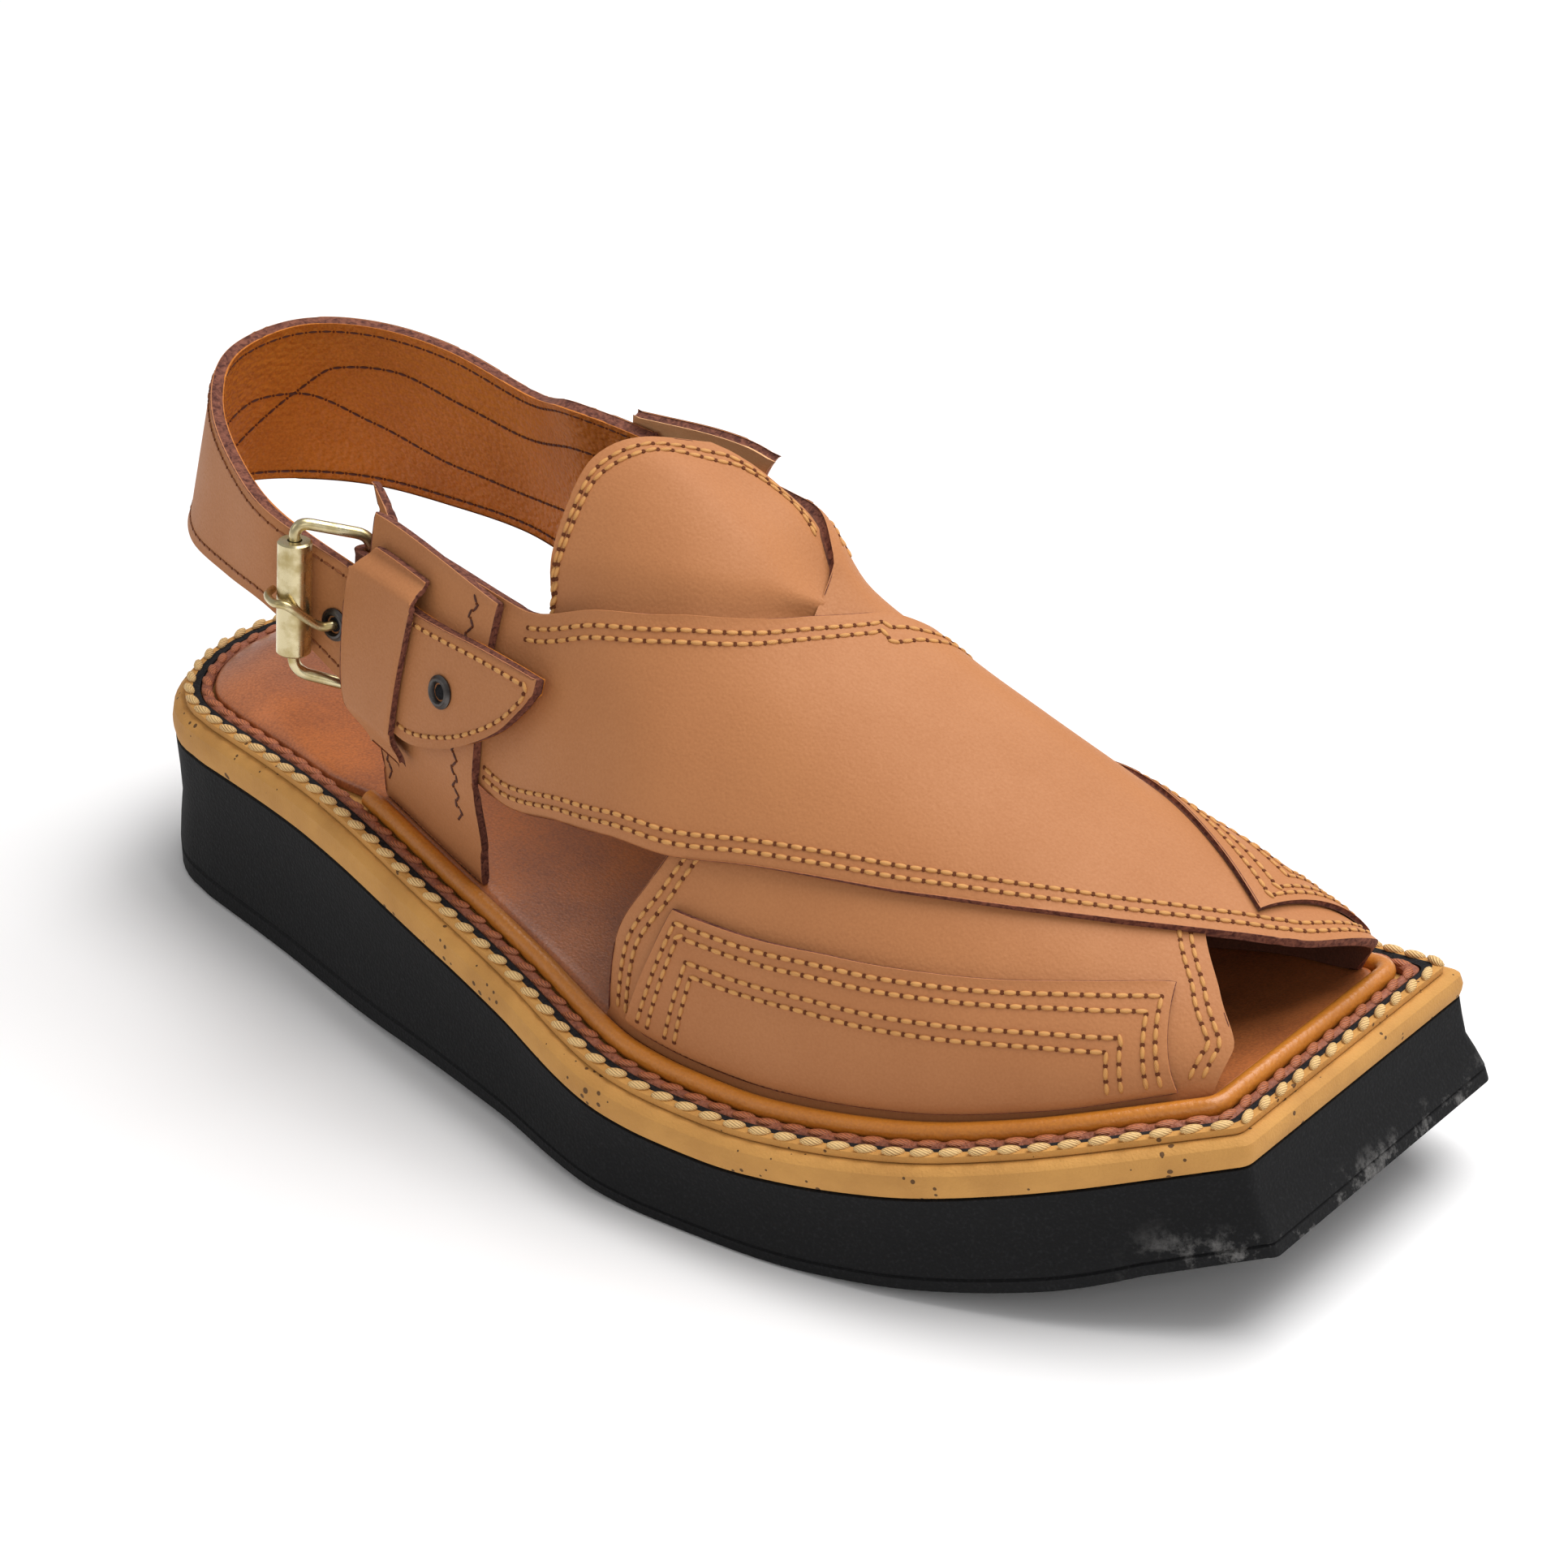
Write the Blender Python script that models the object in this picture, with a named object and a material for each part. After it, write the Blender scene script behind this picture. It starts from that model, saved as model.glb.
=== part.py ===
"""A right peshawari chappal: a leather sandal with two broad crossing straps, a throat flap,
a buckled heel strap and a platform sole. Metres, toe towards +X, little-toe side towards -Y."""

import math

import bmesh
import bpy
import numpy as np

# Overall sizes
LENGTH = 0.300
BALL_WIDTH = 0.118
HEEL_BLOCK = 0.0345
CREPE = 0.0075
TOE_SPRING = 0.0178
FRONT_FLARE = 0.0065
SIDE_FLARE = 0.001
HEEL_ROUND = 0.030
CORNER_RADIUS = 0.003
CORNER_ROOM = 0.019
GAP = 0.0003

# Layers on the platform, counted inwards from its edge
BEVEL = 0.0019
WELT_INSET = 0.0028
WELT_WIDTH = 0.0034
WELT_THICK = 0.0016
RAND_WIDTH = 0.0024
RAND_THICK = 0.0024
PIPING_RADIUS = 0.00205
INSOLE_THICK = 0.0026
INSOLE_DOME = 0.0028
INSOLE_HEEL_INSET = 0.0095
WAIST = 0.27

# The last and the leather on it
INSTEP_RISE = 0.091
FULLNESS = 2.1
WALL = 0.0022
CROSSING_SINK = 0.0005
OVERLAY_THICK = 0.0011
TAB_THICK = 0.0018
FLAP_THICK = 0.0015
STRAP_THICK = 0.0026
KEEPER_THICK = 0.0014

# Buckle
WIRE = 0.0013
ROLLER_RADIUS = 0.0037
PRONG = 0.0011
BUCKLE_HEIGHT = 0.034
EYELET_RADIUS = 0.0036
EYELET_HOLE = 0.0017
EYELET_THICK = 0.0009

# Plan of the platform: along (share of LENGTH), outer and inner edge (shares of BALL_WIDTH)
PLAN = (
    (0.083, -0.297, 0.328),
    (0.200, -0.368, 0.342),
    (0.333, -0.464, 0.350),
    (0.467, -0.544, 0.363),
    (0.583, -0.612, 0.381),
    (0.683, -0.600, 0.397),
    (0.783, -0.556, 0.424),
    (0.873, -0.469, 0.450),
    (1.000, -0.255, 0.404),
)
# Side view of it: along (LENGTH), block top (HEEL_BLOCK), crepe (CREPE), underside (TOE_SPRING)
SIDE = (
    (0.000, 0.95, 1.10, 0.00),
    (0.133, 1.00, 1.05, 0.00),
    (0.220, 1.01, 1.04, 0.00),
    (0.267, 1.00, 1.03, 0.02),
    (0.400, 0.855, 0.95, 0.12),
    (0.533, 0.63, 0.92, 0.09),
    (0.620, 0.52, 0.91, 0.00),
    (0.667, 0.51, 0.90, 0.00),
    (0.715, 0.54, 0.90, 0.00),
    (0.800, 0.64, 0.90, 0.09),
    (0.900, 0.83, 0.90, 0.38),
    (1.000, 1.03, 0.85, 1.00),
)
# The last: along (LENGTH), rise over the deck (INSTEP_RISE), crest line (BALL_WIDTH)
LAST = (
    (0.200, 0.90, 0.000),
    (0.300, 0.96, 0.005),
    (0.400, 1.00, 0.018),
    (0.467, 1.02, 0.030),
    (0.533, 0.95, 0.040),
    (0.583, 0.83, 0.050),
    (0.633, 0.76, 0.060),
    (0.700, 0.655, 0.070),
    (0.773, 0.525, 0.077),
    (0.870, 0.325, 0.080),
    (0.960, 0.13, 0.080),
    (1.000, 0.05, 0.070),
)
# Strap edges on the last: rear edge along (LENGTH) and round (0 outer feather, 1 inner), front edge the same
OVER_STRAP = (
    (0.300, 0.230, 0.300, 0.100),
    (0.360, 0.232, 0.360, 0.083),
    (0.417, 0.233, 0.416, 0.076),
    (0.485, 0.277, 0.498, 0.111),
    (0.541, 0.342, 0.580, 0.166),
    (0.582, 0.428, 0.665, 0.219),
    (0.612, 0.500, 0.742, 0.260),
    (0.632, 0.580, 0.812, 0.311),
    (0.638, 0.665, 0.868, 0.366),
    (0.628, 0.752, 0.914, 0.440),
    (0.604, 0.845, 0.947, 0.545),
    (0.577, 0.930, 0.961, 0.780),
    (0.545, 1.000, 0.943, 1.000),
)
UNDER_STRAP = (
    (0.354, 0.712, 0.354, 0.900),
    (0.392, 0.706, 0.394, 0.902),
    (0.438, 0.698, 0.440, 0.902),
    (0.500, 0.660, 0.520, 0.845),
    (0.535, 0.600, 0.599, 0.800),
    (0.560, 0.530, 0.679, 0.755),
    (0.585, 0.460, 0.752, 0.705),
    (0.600, 0.385, 0.812, 0.645),
    (0.604, 0.300, 0.860, 0.560),
    (0.594, 0.220, 0.893, 0.430),
    (0.575, 0.140, 0.929, 0.310),
    (0.552, 0.065, 0.953, 0.160),
    (0.546, 0.000, 0.949, 0.000),
)
# Throat flap: place on the upper strap's rear edge (share of its length), then free edge along and round
FLAP = (
    (0.170, 0.418, 0.244),
    (0.215, 0.431, 0.315),
    (0.255, 0.428, 0.385),
    (0.290, 0.446, 0.452),
    (0.325, 0.478, 0.503),
    (0.362, 0.514, 0.565),
    (0.400, 0.548, 0.525),
    (0.432, 0.583, 0.458),
)
# Side panel laid on the lower strap, and the corner piece on the upper one: as the straps
OUTER_OVERLAY = (
    (0.596, 0.131, 0.569, 0.011),
    (0.642, 0.142, 0.628, 0.011),
    (0.700, 0.162, 0.690, 0.013),
    (0.754, 0.180, 0.750, 0.015),
    (0.824, 0.217, 0.822, 0.020),
    (0.868, 0.254, 0.880, 0.026),
    (0.906, 0.298, 0.932, 0.038),
)
INNER_OVERLAY = (
    (0.595, 0.867, 0.569, 0.989),
    (0.641, 0.832, 0.628, 0.989),
    (0.700, 0.772, 0.690, 0.987),
    (0.756, 0.708, 0.750, 0.985),
    (0.826, 0.615, 0.822, 0.980),
    (0.878, 0.547, 0.890, 0.965),
    (0.911, 0.500, 0.946, 0.915),
)
# The bar at the rear end of the outer quarter, along (LENGTH), which the quarters' rear edges follow
BAR_ALONG = 0.250
# Rear quarters: rear edge then front edge, from the sole upwards
OUTER_TAB = (
    (BAR_ALONG + 0.031, 0.000, 0.399, 0.000),
    (BAR_ALONG + 0.027, 0.060, 0.399, 0.060),
    (BAR_ALONG + 0.018, 0.160, 0.401, 0.160),
    (BAR_ALONG + 0.013, 0.244, 0.402, 0.2285),
)
INNER_TAB = (
    (0.330, 1.000, 0.405, 1.000),
    (0.331, 0.940, 0.410, 0.940),
    (0.337, 0.830, 0.430, 0.830),
    (0.366, 0.655, 0.490, 0.610),
)
# The leather turned round the buckle's bar, and its tail: along and round
BAR_ROUND = (0.071, 0.214)
LOOP_END = BAR_ALONG + 0.0115
TAIL = (
    (BAR_ALONG + 0.016, 0.180, BAR_ALONG + 0.032, 0.180),
    (BAR_ALONG + 0.006, 0.220, BAR_ALONG + 0.020, 0.220),
    (BAR_ALONG - 0.006, 0.243, BAR_ALONG + 0.005, 0.243),
    (BAR_ALONG - 0.017, 0.268, BAR_ALONG - 0.013, 0.265),
)
# Heel strap's free part: lower edge, then upper edge, as along (LENGTH), across (BALL_WIDTH), height over the deck (INSTEP_RISE)
HEEL_STRAP = (
    (0.225, 0.262, 0.37, 0.235, 0.250, 0.755),
    (0.150, 0.258, 0.375, 0.165, 0.240, 0.81),
    (0.084, 0.224, 0.39, 0.106, 0.204, 0.84),
    (0.036, 0.140, 0.41, 0.066, 0.128, 0.855),
    (0.014, 0.030, 0.43, 0.050, 0.029, 0.845),
    (0.023, -0.070, 0.425, 0.055, -0.060, 0.82),
    (0.058, -0.160, 0.415, 0.082, -0.146, 0.760),
    (0.120, -0.230, 0.42, 0.130, -0.218, 0.695),
    (0.180, -0.277, 0.415, 0.182, -0.269, 0.655),
)
INNER_END = (
    (0.385, 0.885, 0.690),
    (0.345, 0.888, 0.688),
    (0.305, 0.892, 0.688),
)
OUTER_END = (
    (0.245, 0.090, 0.187),
    (0.270, 0.087, 0.186),
    (0.300, 0.083, 0.184),
    (0.336, 0.080, 0.183),
    (0.367, 0.092, 0.186),
    (0.397, 0.110, 0.190),
    (0.430, 0.138, 0.193),
    (0.450, 0.166, 0.195),
    (0.459, 0.185, 0.196),
)
KEEPER = (
    (0.288, 0.052, 0.322, 0.052),
    (0.270, 0.068, 0.323, 0.066),
    (0.264, 0.088, 0.325, 0.080),
    (0.263, 0.120, 0.330, 0.120),
    (0.263, 0.160, 0.335, 0.160),
    (0.266, 0.188, 0.337, 0.186),
    (0.272, 0.204, 0.337, 0.200),
    (0.280, 0.216, 0.337, 0.212),
)
# Places on the heel strap as shares of the way to its tip: roller, prong hole, spare eyelet
ROLLER_AT, PRONG_AT, SPARE_AT = 0.703, 0.736, 0.879


def monotone(xs, ys):
    """A smooth curve through the rows of a table that never overshoots them."""
    xs, ys = np.asarray(xs, float), np.asarray(ys, float)
    step = np.diff(xs)
    rate = np.diff(ys) / step
    slope = np.zeros(len(xs))
    slope[0], slope[-1] = rate[0], rate[-1]
    for i in range(1, len(xs) - 1):
        if rate[i - 1] * rate[i] > 0:
            a, b = 2 * step[i] + step[i - 1], step[i] + 2 * step[i - 1]
            slope[i] = (a + b) / (a / rate[i - 1] + b / rate[i])

    def value(x):
        x = min(max(x, xs[0]), xs[-1])
        i = min(max(int(np.searchsorted(xs, x)) - 1, 0), len(step) - 1)
        t = (x - xs[i]) / step[i]
        return (
            (1 + 2 * t) * (1 - t) ** 2 * ys[i]
            + t * (1 - t) ** 2 * step[i] * slope[i]
            + t * t * (3 - 2 * t) * ys[i + 1]
            + t * t * (t - 1) * step[i] * slope[i + 1]
        )

    return value


def column(table, index, scale):
    return monotone([row[0] * LENGTH for row in table], [row[index] * scale for row in table])


def smooth(value, low, high):
    t = min(max((value - low) / (high - low), 0.0), 1.0)
    return t * t * (3 - 2 * t)


outer_edge, inner_edge = column(PLAN, 1, BALL_WIDTH), column(PLAN, 2, BALL_WIDTH)
block_top, crepe = column(SIDE, 1, HEEL_BLOCK), column(SIDE, 2, CREPE)
underside = column(SIDE, 3, TOE_SPRING)
last_rise, crest_line = column(LAST, 1, INSTEP_RISE), column(LAST, 2, BALL_WIDTH)


def deck(x):
    return block_top(x) + crepe(x)


def sides(x):
    """Outer and inner edge of the platform at x, drawn in to a half ellipse at the heel."""
    low, high = outer_edge(x), inner_edge(x)
    if x < HEEL_ROUND:
        share = math.sqrt(max(1 - (1 - x / HEEL_ROUND) ** 2, 0.0))
        middle = (low + high) / 2
        low, high = middle + (low - middle) * share, middle + (high - middle) * share
    return low, high


HEEL_STEPS, SIDE_STEPS, CORNER_STEPS = 7, 26, 3


def plan_ring(inset, corner=CORNER_RADIUS, flare=0.0):
    """The platform's outline moved inwards: outer side heel to toe, then inner side back to the heel."""
    heel = [HEEL_ROUND * (1 - math.cos(t * math.pi / 2)) for t in np.linspace(0.1, 1, HEEL_STEPS)]
    along = heel + list(np.linspace(HEEL_ROUND, LENGTH - CORNER_ROOM, SIDE_STEPS)[1:]) + [LENGTH]
    line = [(x, sides(x)[0]) for x in along] + [(x, sides(x)[1]) for x in reversed(along)]
    line = np.array(line)
    edge = np.roll(line, -1, 0) - line
    edge /= np.linalg.norm(edge, axis=1)[:, None]
    normal = np.stack([-edge[:, 1], edge[:, 0]], 1)
    before = np.roll(normal, 1, 0)
    mitre = (normal + before) / (1 + (normal * before).sum(1))[:, None]
    push = inset if not callable(inset) else np.array([inset(x) for x, _ in line])[:, None]
    moved = line + mitre * push
    moved[:, 0] += flare * np.array([smooth(x, 0.80 * LENGTH, LENGTH) for x, _ in line])
    ring = []
    tip = len(along) - 1
    for i, point in enumerate(moved):
        if i not in (tip, tip + 1):
            ring.append(tuple(point))
            continue
        back, ahead = moved[i - 1] - point, moved[i + 1] - point
        back, ahead = back / np.linalg.norm(back), ahead / np.linalg.norm(ahead)
        half = math.acos(max(min(float(back @ ahead), 1), -1)) / 2
        reach = corner / math.tan(half)
        centre = point + (back + ahead) / np.linalg.norm(back + ahead) * corner / math.sin(half)
        first, last = point + back * reach - centre, point + ahead * reach - centre
        for t in np.linspace(0, 1, CORNER_STEPS):
            arm = first * (1 - t) + last * t
            ring.append(tuple(centre + arm / np.linalg.norm(arm) * corner))
    return ring


def raised(ring, height):
    return [(x, y, height(x)) for x, y in ring]


MATERIALS = {
    "upper_leather": ((0.42, 0.21, 0.11), 0.0, 0.55),
    "insole_leather": ((0.66, 0.30, 0.12), 0.0, 0.40),
    "piping_leather": ((0.82, 0.40, 0.10), 0.0, 0.35),
    "rand_leather": ((0.45, 0.20, 0.12), 0.0, 0.60),
    "welt_leather": ((0.02, 0.02, 0.03), 0.0, 0.60),
    "crepe": ((0.62, 0.40, 0.18), 0.0, 0.70),
    "black_rubber": ((0.012, 0.012, 0.012), 0.0, 0.75),
    "buckle_brass": ((0.62, 0.55, 0.38), 1.0, 0.30),
    "eyelet_steel": ((0.20, 0.19, 0.18), 1.0, 0.40),
}


def material(name):
    made = bpy.data.materials.get(name)
    if made is None:
        colour, metal, rough = MATERIALS[name]
        made = bpy.data.materials.new(name)
        made.use_nodes = True
        shader = made.node_tree.nodes["Principled BSDF"]
        shader.inputs["Base Color"].default_value = (*colour, 1)
        shader.inputs["Metallic"].default_value = metal
        shader.inputs["Roughness"].default_value = rough
    return made


def solid(name, slot, points, faces):
    """One closed mesh with its faces turned outwards."""
    mesh = bpy.data.meshes.new(name)
    mesh.from_pydata([tuple(map(float, p)) for p in points], [], faces)
    work = bmesh.new()
    work.from_mesh(mesh)
    bmesh.ops.recalc_face_normals(work, faces=work.faces)
    work.to_mesh(mesh)
    work.free()
    mesh.materials.append(material(slot))
    made = bpy.data.objects.new(name, mesh)
    bpy.context.scene.collection.objects.link(made)
    return made


def stacked(name, slot, rings):
    """Rings joined one above another, closed by strips from side to side."""
    count, half = len(rings[0]), len(rings[0]) // 2
    points = [p for ring in rings for p in ring]
    faces = []
    for r in range(len(rings) - 1):
        for i in range(count):
            j = (i + 1) % count
            faces.append((r * count + i, r * count + j, (r + 1) * count + j, (r + 1) * count + i))
    for base in (0, (len(rings) - 1) * count):
        for i in range(half - 1):
            faces.append((base + i, base + i + 1, base + count - 2 - i, base + count - 1 - i))
    return solid(name, slot, points, faces)


def loop_strip(name, slot, rings):
    """Rings joined round a closed section, as for a frame that follows the platform's edge."""
    count = len(rings[0])
    points = [p for ring in rings for p in ring]
    faces = []
    for r in range(len(rings)):
        s = (r + 1) % len(rings)
        for i in range(count):
            j = (i + 1) % count
            faces.append((r * count + i, r * count + j, s * count + j, s * count + i))
    return solid(name, slot, points, faces)


def slab(name, slot, inner, outer):
    """A leather wall between two grids of points, rows along and columns across."""
    rows, cols = len(inner), len(inner[0])
    points = [p for row in inner for p in row] + [p for row in outer for p in row]
    shift = rows * cols
    faces = []
    for r in range(rows - 1):
        for c in range(cols - 1):
            a, b, d, e = r * cols + c, r * cols + c + 1, (r + 1) * cols + c + 1, (r + 1) * cols + c
            faces += [(a, b, d, e), (a + shift, e + shift, d + shift, b + shift)]
    rim = [r * cols for r in range(rows)] + [(rows - 1) * cols + c for c in range(1, cols)]
    rim += [r * cols + cols - 1 for r in range(rows - 2, -1, -1)] + list(range(cols - 2, 0, -1))
    for i, a in enumerate(rim):
        b = rim[(i + 1) % len(rim)]
        faces.append((a, b, b + shift, a + shift))
    return solid(name, slot, points, faces)


def tube(name, slot, path, radius, sides_round=8, closed=False):
    """A round bar along a path of points."""
    path = [np.array(p, float) for p in path]
    count = len(path)
    rings = []
    up = None
    for i, p in enumerate(path):
        ahead = path[(i + 1) % count] if closed or i < count - 1 else p
        behind = path[i - 1] if closed or i > 0 else p
        along = (ahead - behind) / np.linalg.norm(ahead - behind)
        if up is None:
            up = np.cross(along, (0.0, 0.0, 1.0))
            if np.linalg.norm(up) < 0.3:
                up = np.cross(along, (0.0, 1.0, 0.0))
        up = up - along * (up @ along)
        up /= np.linalg.norm(up)
        side = np.cross(along, up)
        size = radius(i / (count - 1)) if callable(radius) else radius
        turns = [2 * math.pi * k / sides_round for k in range(sides_round)]
        rings.append([p + size * (up * math.cos(t) + side * math.sin(t)) for t in turns])
    points = [q for ring in rings for q in ring]
    faces = []
    for r in range(count if closed else count - 1):
        s = (r + 1) % count
        for k in range(sides_round):
            j = (k + 1) % sides_round
            base, top = r * sides_round, s * sides_round
            faces.append((base + k, base + j, top + j, top + k))
    if not closed:
        faces.append(tuple(range(sides_round)))
        faces.append(tuple((count - 1) * sides_round + k for k in range(sides_round)))
    return solid(name, slot, points, faces)


PIPING_INSET = WELT_INSET + WELT_WIDTH + RAND_WIDTH + 2 * GAP + PIPING_RADIUS
FEATHER = PIPING_INSET + PIPING_RADIUS + WALL + 3 * GAP
STAND = INSOLE_THICK + 2 * GAP


def drawn_in(edge, x, way):
    """Where the line one FEATHER inside a side edge passes x."""
    step = 0.004

    def slope(spot):
        inside = min(spot, LENGTH - step)
        return (edge(inside + step) - edge(inside - step)) / (2 * step)

    reach = FEATHER / math.hypot(1, slope(x))
    from_x = x + way * slope(x) * reach
    beyond = max(from_x - LENGTH, 0.0) * slope(LENGTH)
    return edge(from_x) + beyond + way * FEATHER / math.hypot(1, slope(from_x))


def last_surface(x, a):
    """The last's skin: a runs round it from the outer feather edge over the crest to the inner one."""
    low, high = drawn_in(outer_edge, x, 1), drawn_in(inner_edge, x, -1)
    crest = crest_line(x)
    turn, power = math.pi * a, 2 / FULLNESS
    reach = (crest - low) if a < 0.5 else (high - crest)
    way = -1 if a < 0.5 else 1
    return np.array(
        [
            x,
            crest + way * reach * abs(math.cos(turn)) ** power,
            deck(x) + STAND + last_rise(x) * max(math.sin(turn), 0.0) ** power,
        ]
    )


def on_last(x, a, offset=0.0):
    """A point on the last, moved outwards along its normal."""
    point = last_surface(x, a)
    step = 1e-3
    low, high = max(a - 5 * step, 0.0), min(a + 5 * step, 1.0)
    round_way = last_surface(x, high) - last_surface(x, low)
    along = last_surface(x + step, a) - last_surface(x - step, a)
    if a < 0.02 or a > 0.98:
        along[2] = 0.0
        round_way = np.array([0.0, 0.0, 1.0 if a < 0.5 else -1.0])
    normal = np.cross(along, round_way)
    return point + normal / np.linalg.norm(normal) * offset


def curve(rows, first, second):
    """Two columns of a table as smooth functions of the share of the way down it."""
    spots = np.linspace(0, 1, len(rows))
    one = monotone(spots, [row[first] for row in rows])
    two = monotone(spots, [row[second] for row in rows])
    return lambda t: (one(t), two(t))


def band(name, slot, rows, lengthwise, crosswise, inner, outer):
    """A leather piece on the last between two edges given as a table."""
    one, two = curve(rows, 0, 1), curve(rows, 2, 3)
    grids = ([], [])
    for t in np.linspace(0, 1, lengthwise + 1):
        (x0, a0), (x1, a1) = one(t), two(t)
        lines = ([], [])
        for s in np.linspace(0, 1, crosswise + 1):
            x, a = (x0 + (x1 - x0) * s) * LENGTH, a0 + (a1 - a0) * s
            lines[0].append(on_last(x, a, inner(x, a)))
            lines[1].append(on_last(x, a, outer(x, a)))
        grids[0].append(lines[0])
        grids[1].append(lines[1])
    return slab(name, slot, *grids)


def join(base, other):
    """Adds another solid to the first and removes the second."""
    joint = base.modifiers.new("join", "BOOLEAN")
    joint.operation, joint.solver, joint.object = "UNION", "EXACT", other
    bpy.context.view_layer.update()
    mesh = bpy.data.meshes.new_from_object(
        base.evaluated_get(bpy.context.evaluated_depsgraph_get())
    )
    base.modifiers.clear()
    base.data = mesh
    bpy.data.objects.remove(other)
    return base


def cut(base, cutter):
    """Takes a solid out of another and removes it."""
    joint = base.modifiers.new("cut", "BOOLEAN")
    joint.operation, joint.solver, joint.object = "DIFFERENCE", "EXACT", cutter
    bpy.context.view_layer.update()
    mesh = bpy.data.meshes.new_from_object(
        base.evaluated_get(bpy.context.evaluated_depsgraph_get())
    )
    base.modifiers.clear()
    base.data = mesh
    bpy.data.objects.remove(cutter)
    return base


def platform():
    rings = []
    for share, inset, flare in (
        (0.00, 0.0006, 0.98),
        (0.03, -SIDE_FLARE, 0.98),
        (0.15, -SIDE_FLARE, 0.86),
        (0.165, -SIDE_FLARE + 0.0005, 0.84),
        (0.18, -SIDE_FLARE, 0.82),
        (0.55, 0.0004, 0.40),
        (1.00, 0.0, 0.0),
    ):
        ring = plan_ring(inset, flare=FRONT_FLARE * flare)
        rings.append(
            raised(ring, lambda x, s=share: underside(x) + s * (block_top(x) - underside(x)))
        )
    stacked("outsole", "black_rubber", rings)
    foot = lambda x: block_top(x) + GAP
    stacked(
        "midsole",
        "crepe",
        [
            raised(plan_ring(0.0), foot),
            raised(plan_ring(-0.0003), lambda x: block_top(x) + 0.45 * crepe(x)),
            raised(plan_ring(0.0001), lambda x: block_top(x) + 0.80 * crepe(x)),
            raised(plan_ring(BEVEL), deck),
        ],
    )


def frame_strip(name, slot, inset, width, thick, crown):
    """A strip lying on the deck that follows its edge."""
    low = lambda x: deck(x) + GAP
    shoulder = lambda x: deck(x) + GAP + thick - crown
    high = lambda x: deck(x) + GAP + thick
    inner, middle = inset + width, inset + width / 2
    loop_strip(
        name,
        slot,
        [
            raised(plan_ring(inset), low),
            raised(plan_ring(inset), shoulder),
            raised(plan_ring(middle), high),
            raised(plan_ring(inner), shoulder),
            raised(plan_ring(inner), low),
        ],
    )


def insole_inset(x):
    full = PIPING_INSET + PIPING_RADIUS + GAP
    return INSOLE_HEEL_INSET + (full - INSOLE_HEEL_INSET) * smooth(x, 0.21 * LENGTH, WAIST * LENGTH)


def insole():
    def dome(x, share):
        heel = 1 - smooth(x, 0.12 * LENGTH, WAIST * LENGTH)
        return deck(x) + GAP + INSOLE_THICK + INSOLE_DOME * share * heel

    rings = [raised(plan_ring(insole_inset), lambda x: deck(x) + GAP)]
    for extra, height in ((0.0, -0.0012), (0.0009, -0.0002)):
        ring = plan_ring(lambda x, e=extra: insole_inset(x) + e)
        rings.append(raised(ring, lambda x, h=height: dome(x, 0.0) + h))
    for extra, share in ((0.004, 0.35), (0.009, 0.85)):
        ring = plan_ring(lambda x, e=extra: insole_inset(x) + e)
        rings.append(raised(ring, lambda x, s=share: dome(x, s)))
    stacked("insole", "insole_leather", rings)


def piping():
    """The rolled edging, open at the heel from waist to waist."""
    ring = plan_ring(PIPING_INSET, corner=0.0045)
    path = [(x, y, deck(x) + INSOLE_THICK) for x, y in ring if x > WAIST * LENGTH]
    tube("piping", "piping_leather", path, PIPING_RADIUS, 10)


def upper():
    rise = WALL - CROSSING_SINK
    over = band(
        "upper", "upper_leather", OVER_STRAP, 54, 12,
        lambda x, a: rise * over_lift(x, a), lambda x, a: rise * over_lift(x, a) + WALL,
    )
    under = band(
        "under", "upper_leather", UNDER_STRAP, 54, 12, lambda x, a: 0.0, lambda x, a: WALL
    )
    join(over, under)


def over_lift(x, a):
    """How far the upper strap has climbed onto the lower one: nothing where it meets the sole."""
    return smooth(x, 0.40 * LENGTH, 0.50 * LENGTH) * smooth(1 - a, 0.015, 0.12)


def flat(offset):
    return lambda x, a: offset


def throat_flap():
    """The rounded flap under the lacing throat, butted to the upper strap and lying on the lower one."""
    base = lambda x, a: WALL + GAP - 0.0007 * (1 - smooth(a, 0.30, 0.46))
    seam = curve(OVER_STRAP, 0, 1)
    rows = [(seam(t)[0] - 0.0013, seam(t)[1] + 0.0032, x, a) for t, x, a in FLAP]
    band(
        "throat_flap", "upper_leather", rows, 20, 10, base,
        lambda x, a: base(x, a) + FLAP_THICK,
    )


def overlays():
    low = WALL + GAP
    band("overlay_outer", "upper_leather", OUTER_OVERLAY, 24, 8, flat(low), flat(low + OVERLAY_THICK))

    def high(x, a):
        return (WALL - CROSSING_SINK) * over_lift(x, a) + low

    band(
        "overlay_inner", "upper_leather", INNER_OVERLAY, 24, 12, high,
        lambda x, a: high(x, a) + OVERLAY_THICK,
    )


def quarters():
    """The rear pieces that rise from the sole over the strap ends."""
    climb = WALL + GAP
    outer = lambda x, a: climb * smooth(a, 0.02, 0.085)
    band(
        "quarter_outer", "upper_leather", OUTER_TAB, 22, 6, outer,
        lambda x, a: outer(x, a) + TAB_THICK,
    )
    over = WALL + STRAP_THICK + 3 * GAP
    inner = lambda x, a: climb * smooth(1 - a, 0.02, 0.085) + (over - climb) * smooth(1 - a, 0.062, 0.100)
    band(
        "quarter_inner", "upper_leather", INNER_TAB, 24, 6, inner,
        lambda x, a: inner(x, a) + TAB_THICK,
    )


def bar_offset():
    return WALL + GAP - WIRE - GAP


def bar_ends():
    return [on_last(BAR_ALONG * LENGTH, a, bar_offset()) for a in BAR_ROUND]


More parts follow.
